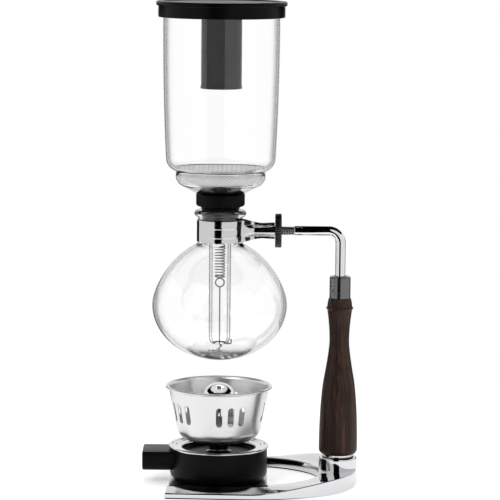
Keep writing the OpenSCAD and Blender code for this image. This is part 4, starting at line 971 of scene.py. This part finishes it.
floor_material, tree, where = new_material("white_studio_floor")
away = add(tree, "VectorMath", {0: where}, operation="LENGTH").outputs["Value"]
seen = seen_plainly(tree)
lift = add(tree, "Math", {0: seen, 1: 0.4}, operation="MULTIPLY")
near = add(tree, "AddShader", {0: add(tree, "BsdfDiffuse", {"Color": linear("#FAFAFA")}),
                               1: add(tree, "Emission", {"Color": linear("#FFFFFF"), "Strength": lift})})
white = add(tree, "Emission", {"Color": linear("#FFFFFF"), "Strength": 1.0})
far_off = add(tree, "MapRange", {"Value": away, "From Min": 0.2, "From Max": 0.45})
share = add(tree, "Math", {0: seen, 1: far_off}, operation="MULTIPLY")
add(tree, "OutputMaterial", {"Surface": add(tree, "MixShader", {0: share, 1: near, 2: white})})
FLOOR_R, FLOOR_STEPS = 16, 96  # metres
a, i = around(FLOOR_STEPS), np.arange(FLOOR_STEPS)
disc = np.concatenate([[[0, 0, 0]], xyz(FLOOR_R * np.cos(a), FLOOR_R * np.sin(a), 0)[:, 0]])
wedges = np.stack([0 * i, i + 1, (i + 1) % FLOOR_STEPS + 1], axis=1)
floor = mesh_piece("studio_floor", disc, wedges.tolist(), unit=1)
floor.data.materials.append(floor_material)
print("floor:", len(floor.data.polygons), "wedges")

# %% Black cards
MIDDLE, CEILING = -0.045, 2.5
card_material, tree, where = new_material("black_velvet_card")
add(tree, "OutputMaterial", {"Surface": add(tree, "BsdfDiffuse", {"Color": linear("#030303")})})


def card(name, corners):
    """A black card with four corners in metres. Only reflections see it."""
    piece = mesh_piece(name, corners, [[0, 1, 2, 3]], unit=1)
    piece.data.materials.append(card_material)
    piece.visible_camera = piece.visible_diffuse = piece.visible_shadow = piece.visible_transmission = False


def wing(name, start, end, near=0.3, far=2.3, height=2.5):
    """Two cards between two directions, in degrees from the camera's side: x = far sin(a), y = -far cos(a).
    One lies on the table from near to far, and one stands at far."""
    way = np.array([[math.sin(math.radians(a)), -math.cos(math.radians(a)), 0] for a in (start, end)])
    foot = np.array([MIDDLE, 0, 0.002])
    low, high = foot + far * way, foot + far * way + np.array([0, 0, height])
    card(name + "_on_table", [*(foot + near * way), low[1], low[0]])
    card(name + "_upright", [low[0], low[1], high[1], high[0]])


wing("card_front", -29, 6)
wing("card_back_left", -162, -124, height=0.3)
wing("card_back_right", 124, 162, height=0.3)
card("card_overhead", [[-4, -2.3, CEILING], [4, -2.3, CEILING], [4, 2.8, CEILING], [-4, 2.8, CEILING]])

# %% World and lamps
world = bpy.data.worlds.new("white_room")
scene.world = world
world.use_nodes = True
tree = world.node_tree
tree.nodes.clear()
room = add(tree, "Background", {"Color": linear("#FFFFFF"), "Strength": 0.6})
plain = add(tree, "Background", {"Color": linear("#FFFFFF"), "Strength": 1.0})
mixed = add(tree, "MixShader", {0: seen_plainly(tree), 1: room, 2: plain})
add(tree, "OutputWorld", {"Surface": mixed})


def soft_box(name, at, size, power):
    """A square area lamp that faces the middle of the pot. Metal mirrors the white room and not the lamp."""
    data = bpy.data.lights.new(name, "AREA")
    data.shape, data.size, data.energy = "SQUARE", size, power
    lamp = bpy.data.objects.new(name, data)
    lamp.location = at
    lamp.rotation_mode = "QUATERNION"
    lamp.rotation_quaternion = (Vector((POT_X, 0, 0.17)) - Vector(at)).to_track_quat("-Z", "Y")
    lamp.visible_glossy = False
    scene.collection.objects.link(lamp)


soft_box("key_soft_box", (-1.3, -1.5, 1.5), 1.0, 16)
soft_box("fill_soft_box", (1.5, -1.2, 1.0), 1.0, 7)
soft_box("top_soft_box", (0.0, 0.4, 2.0), 1.2, 8)
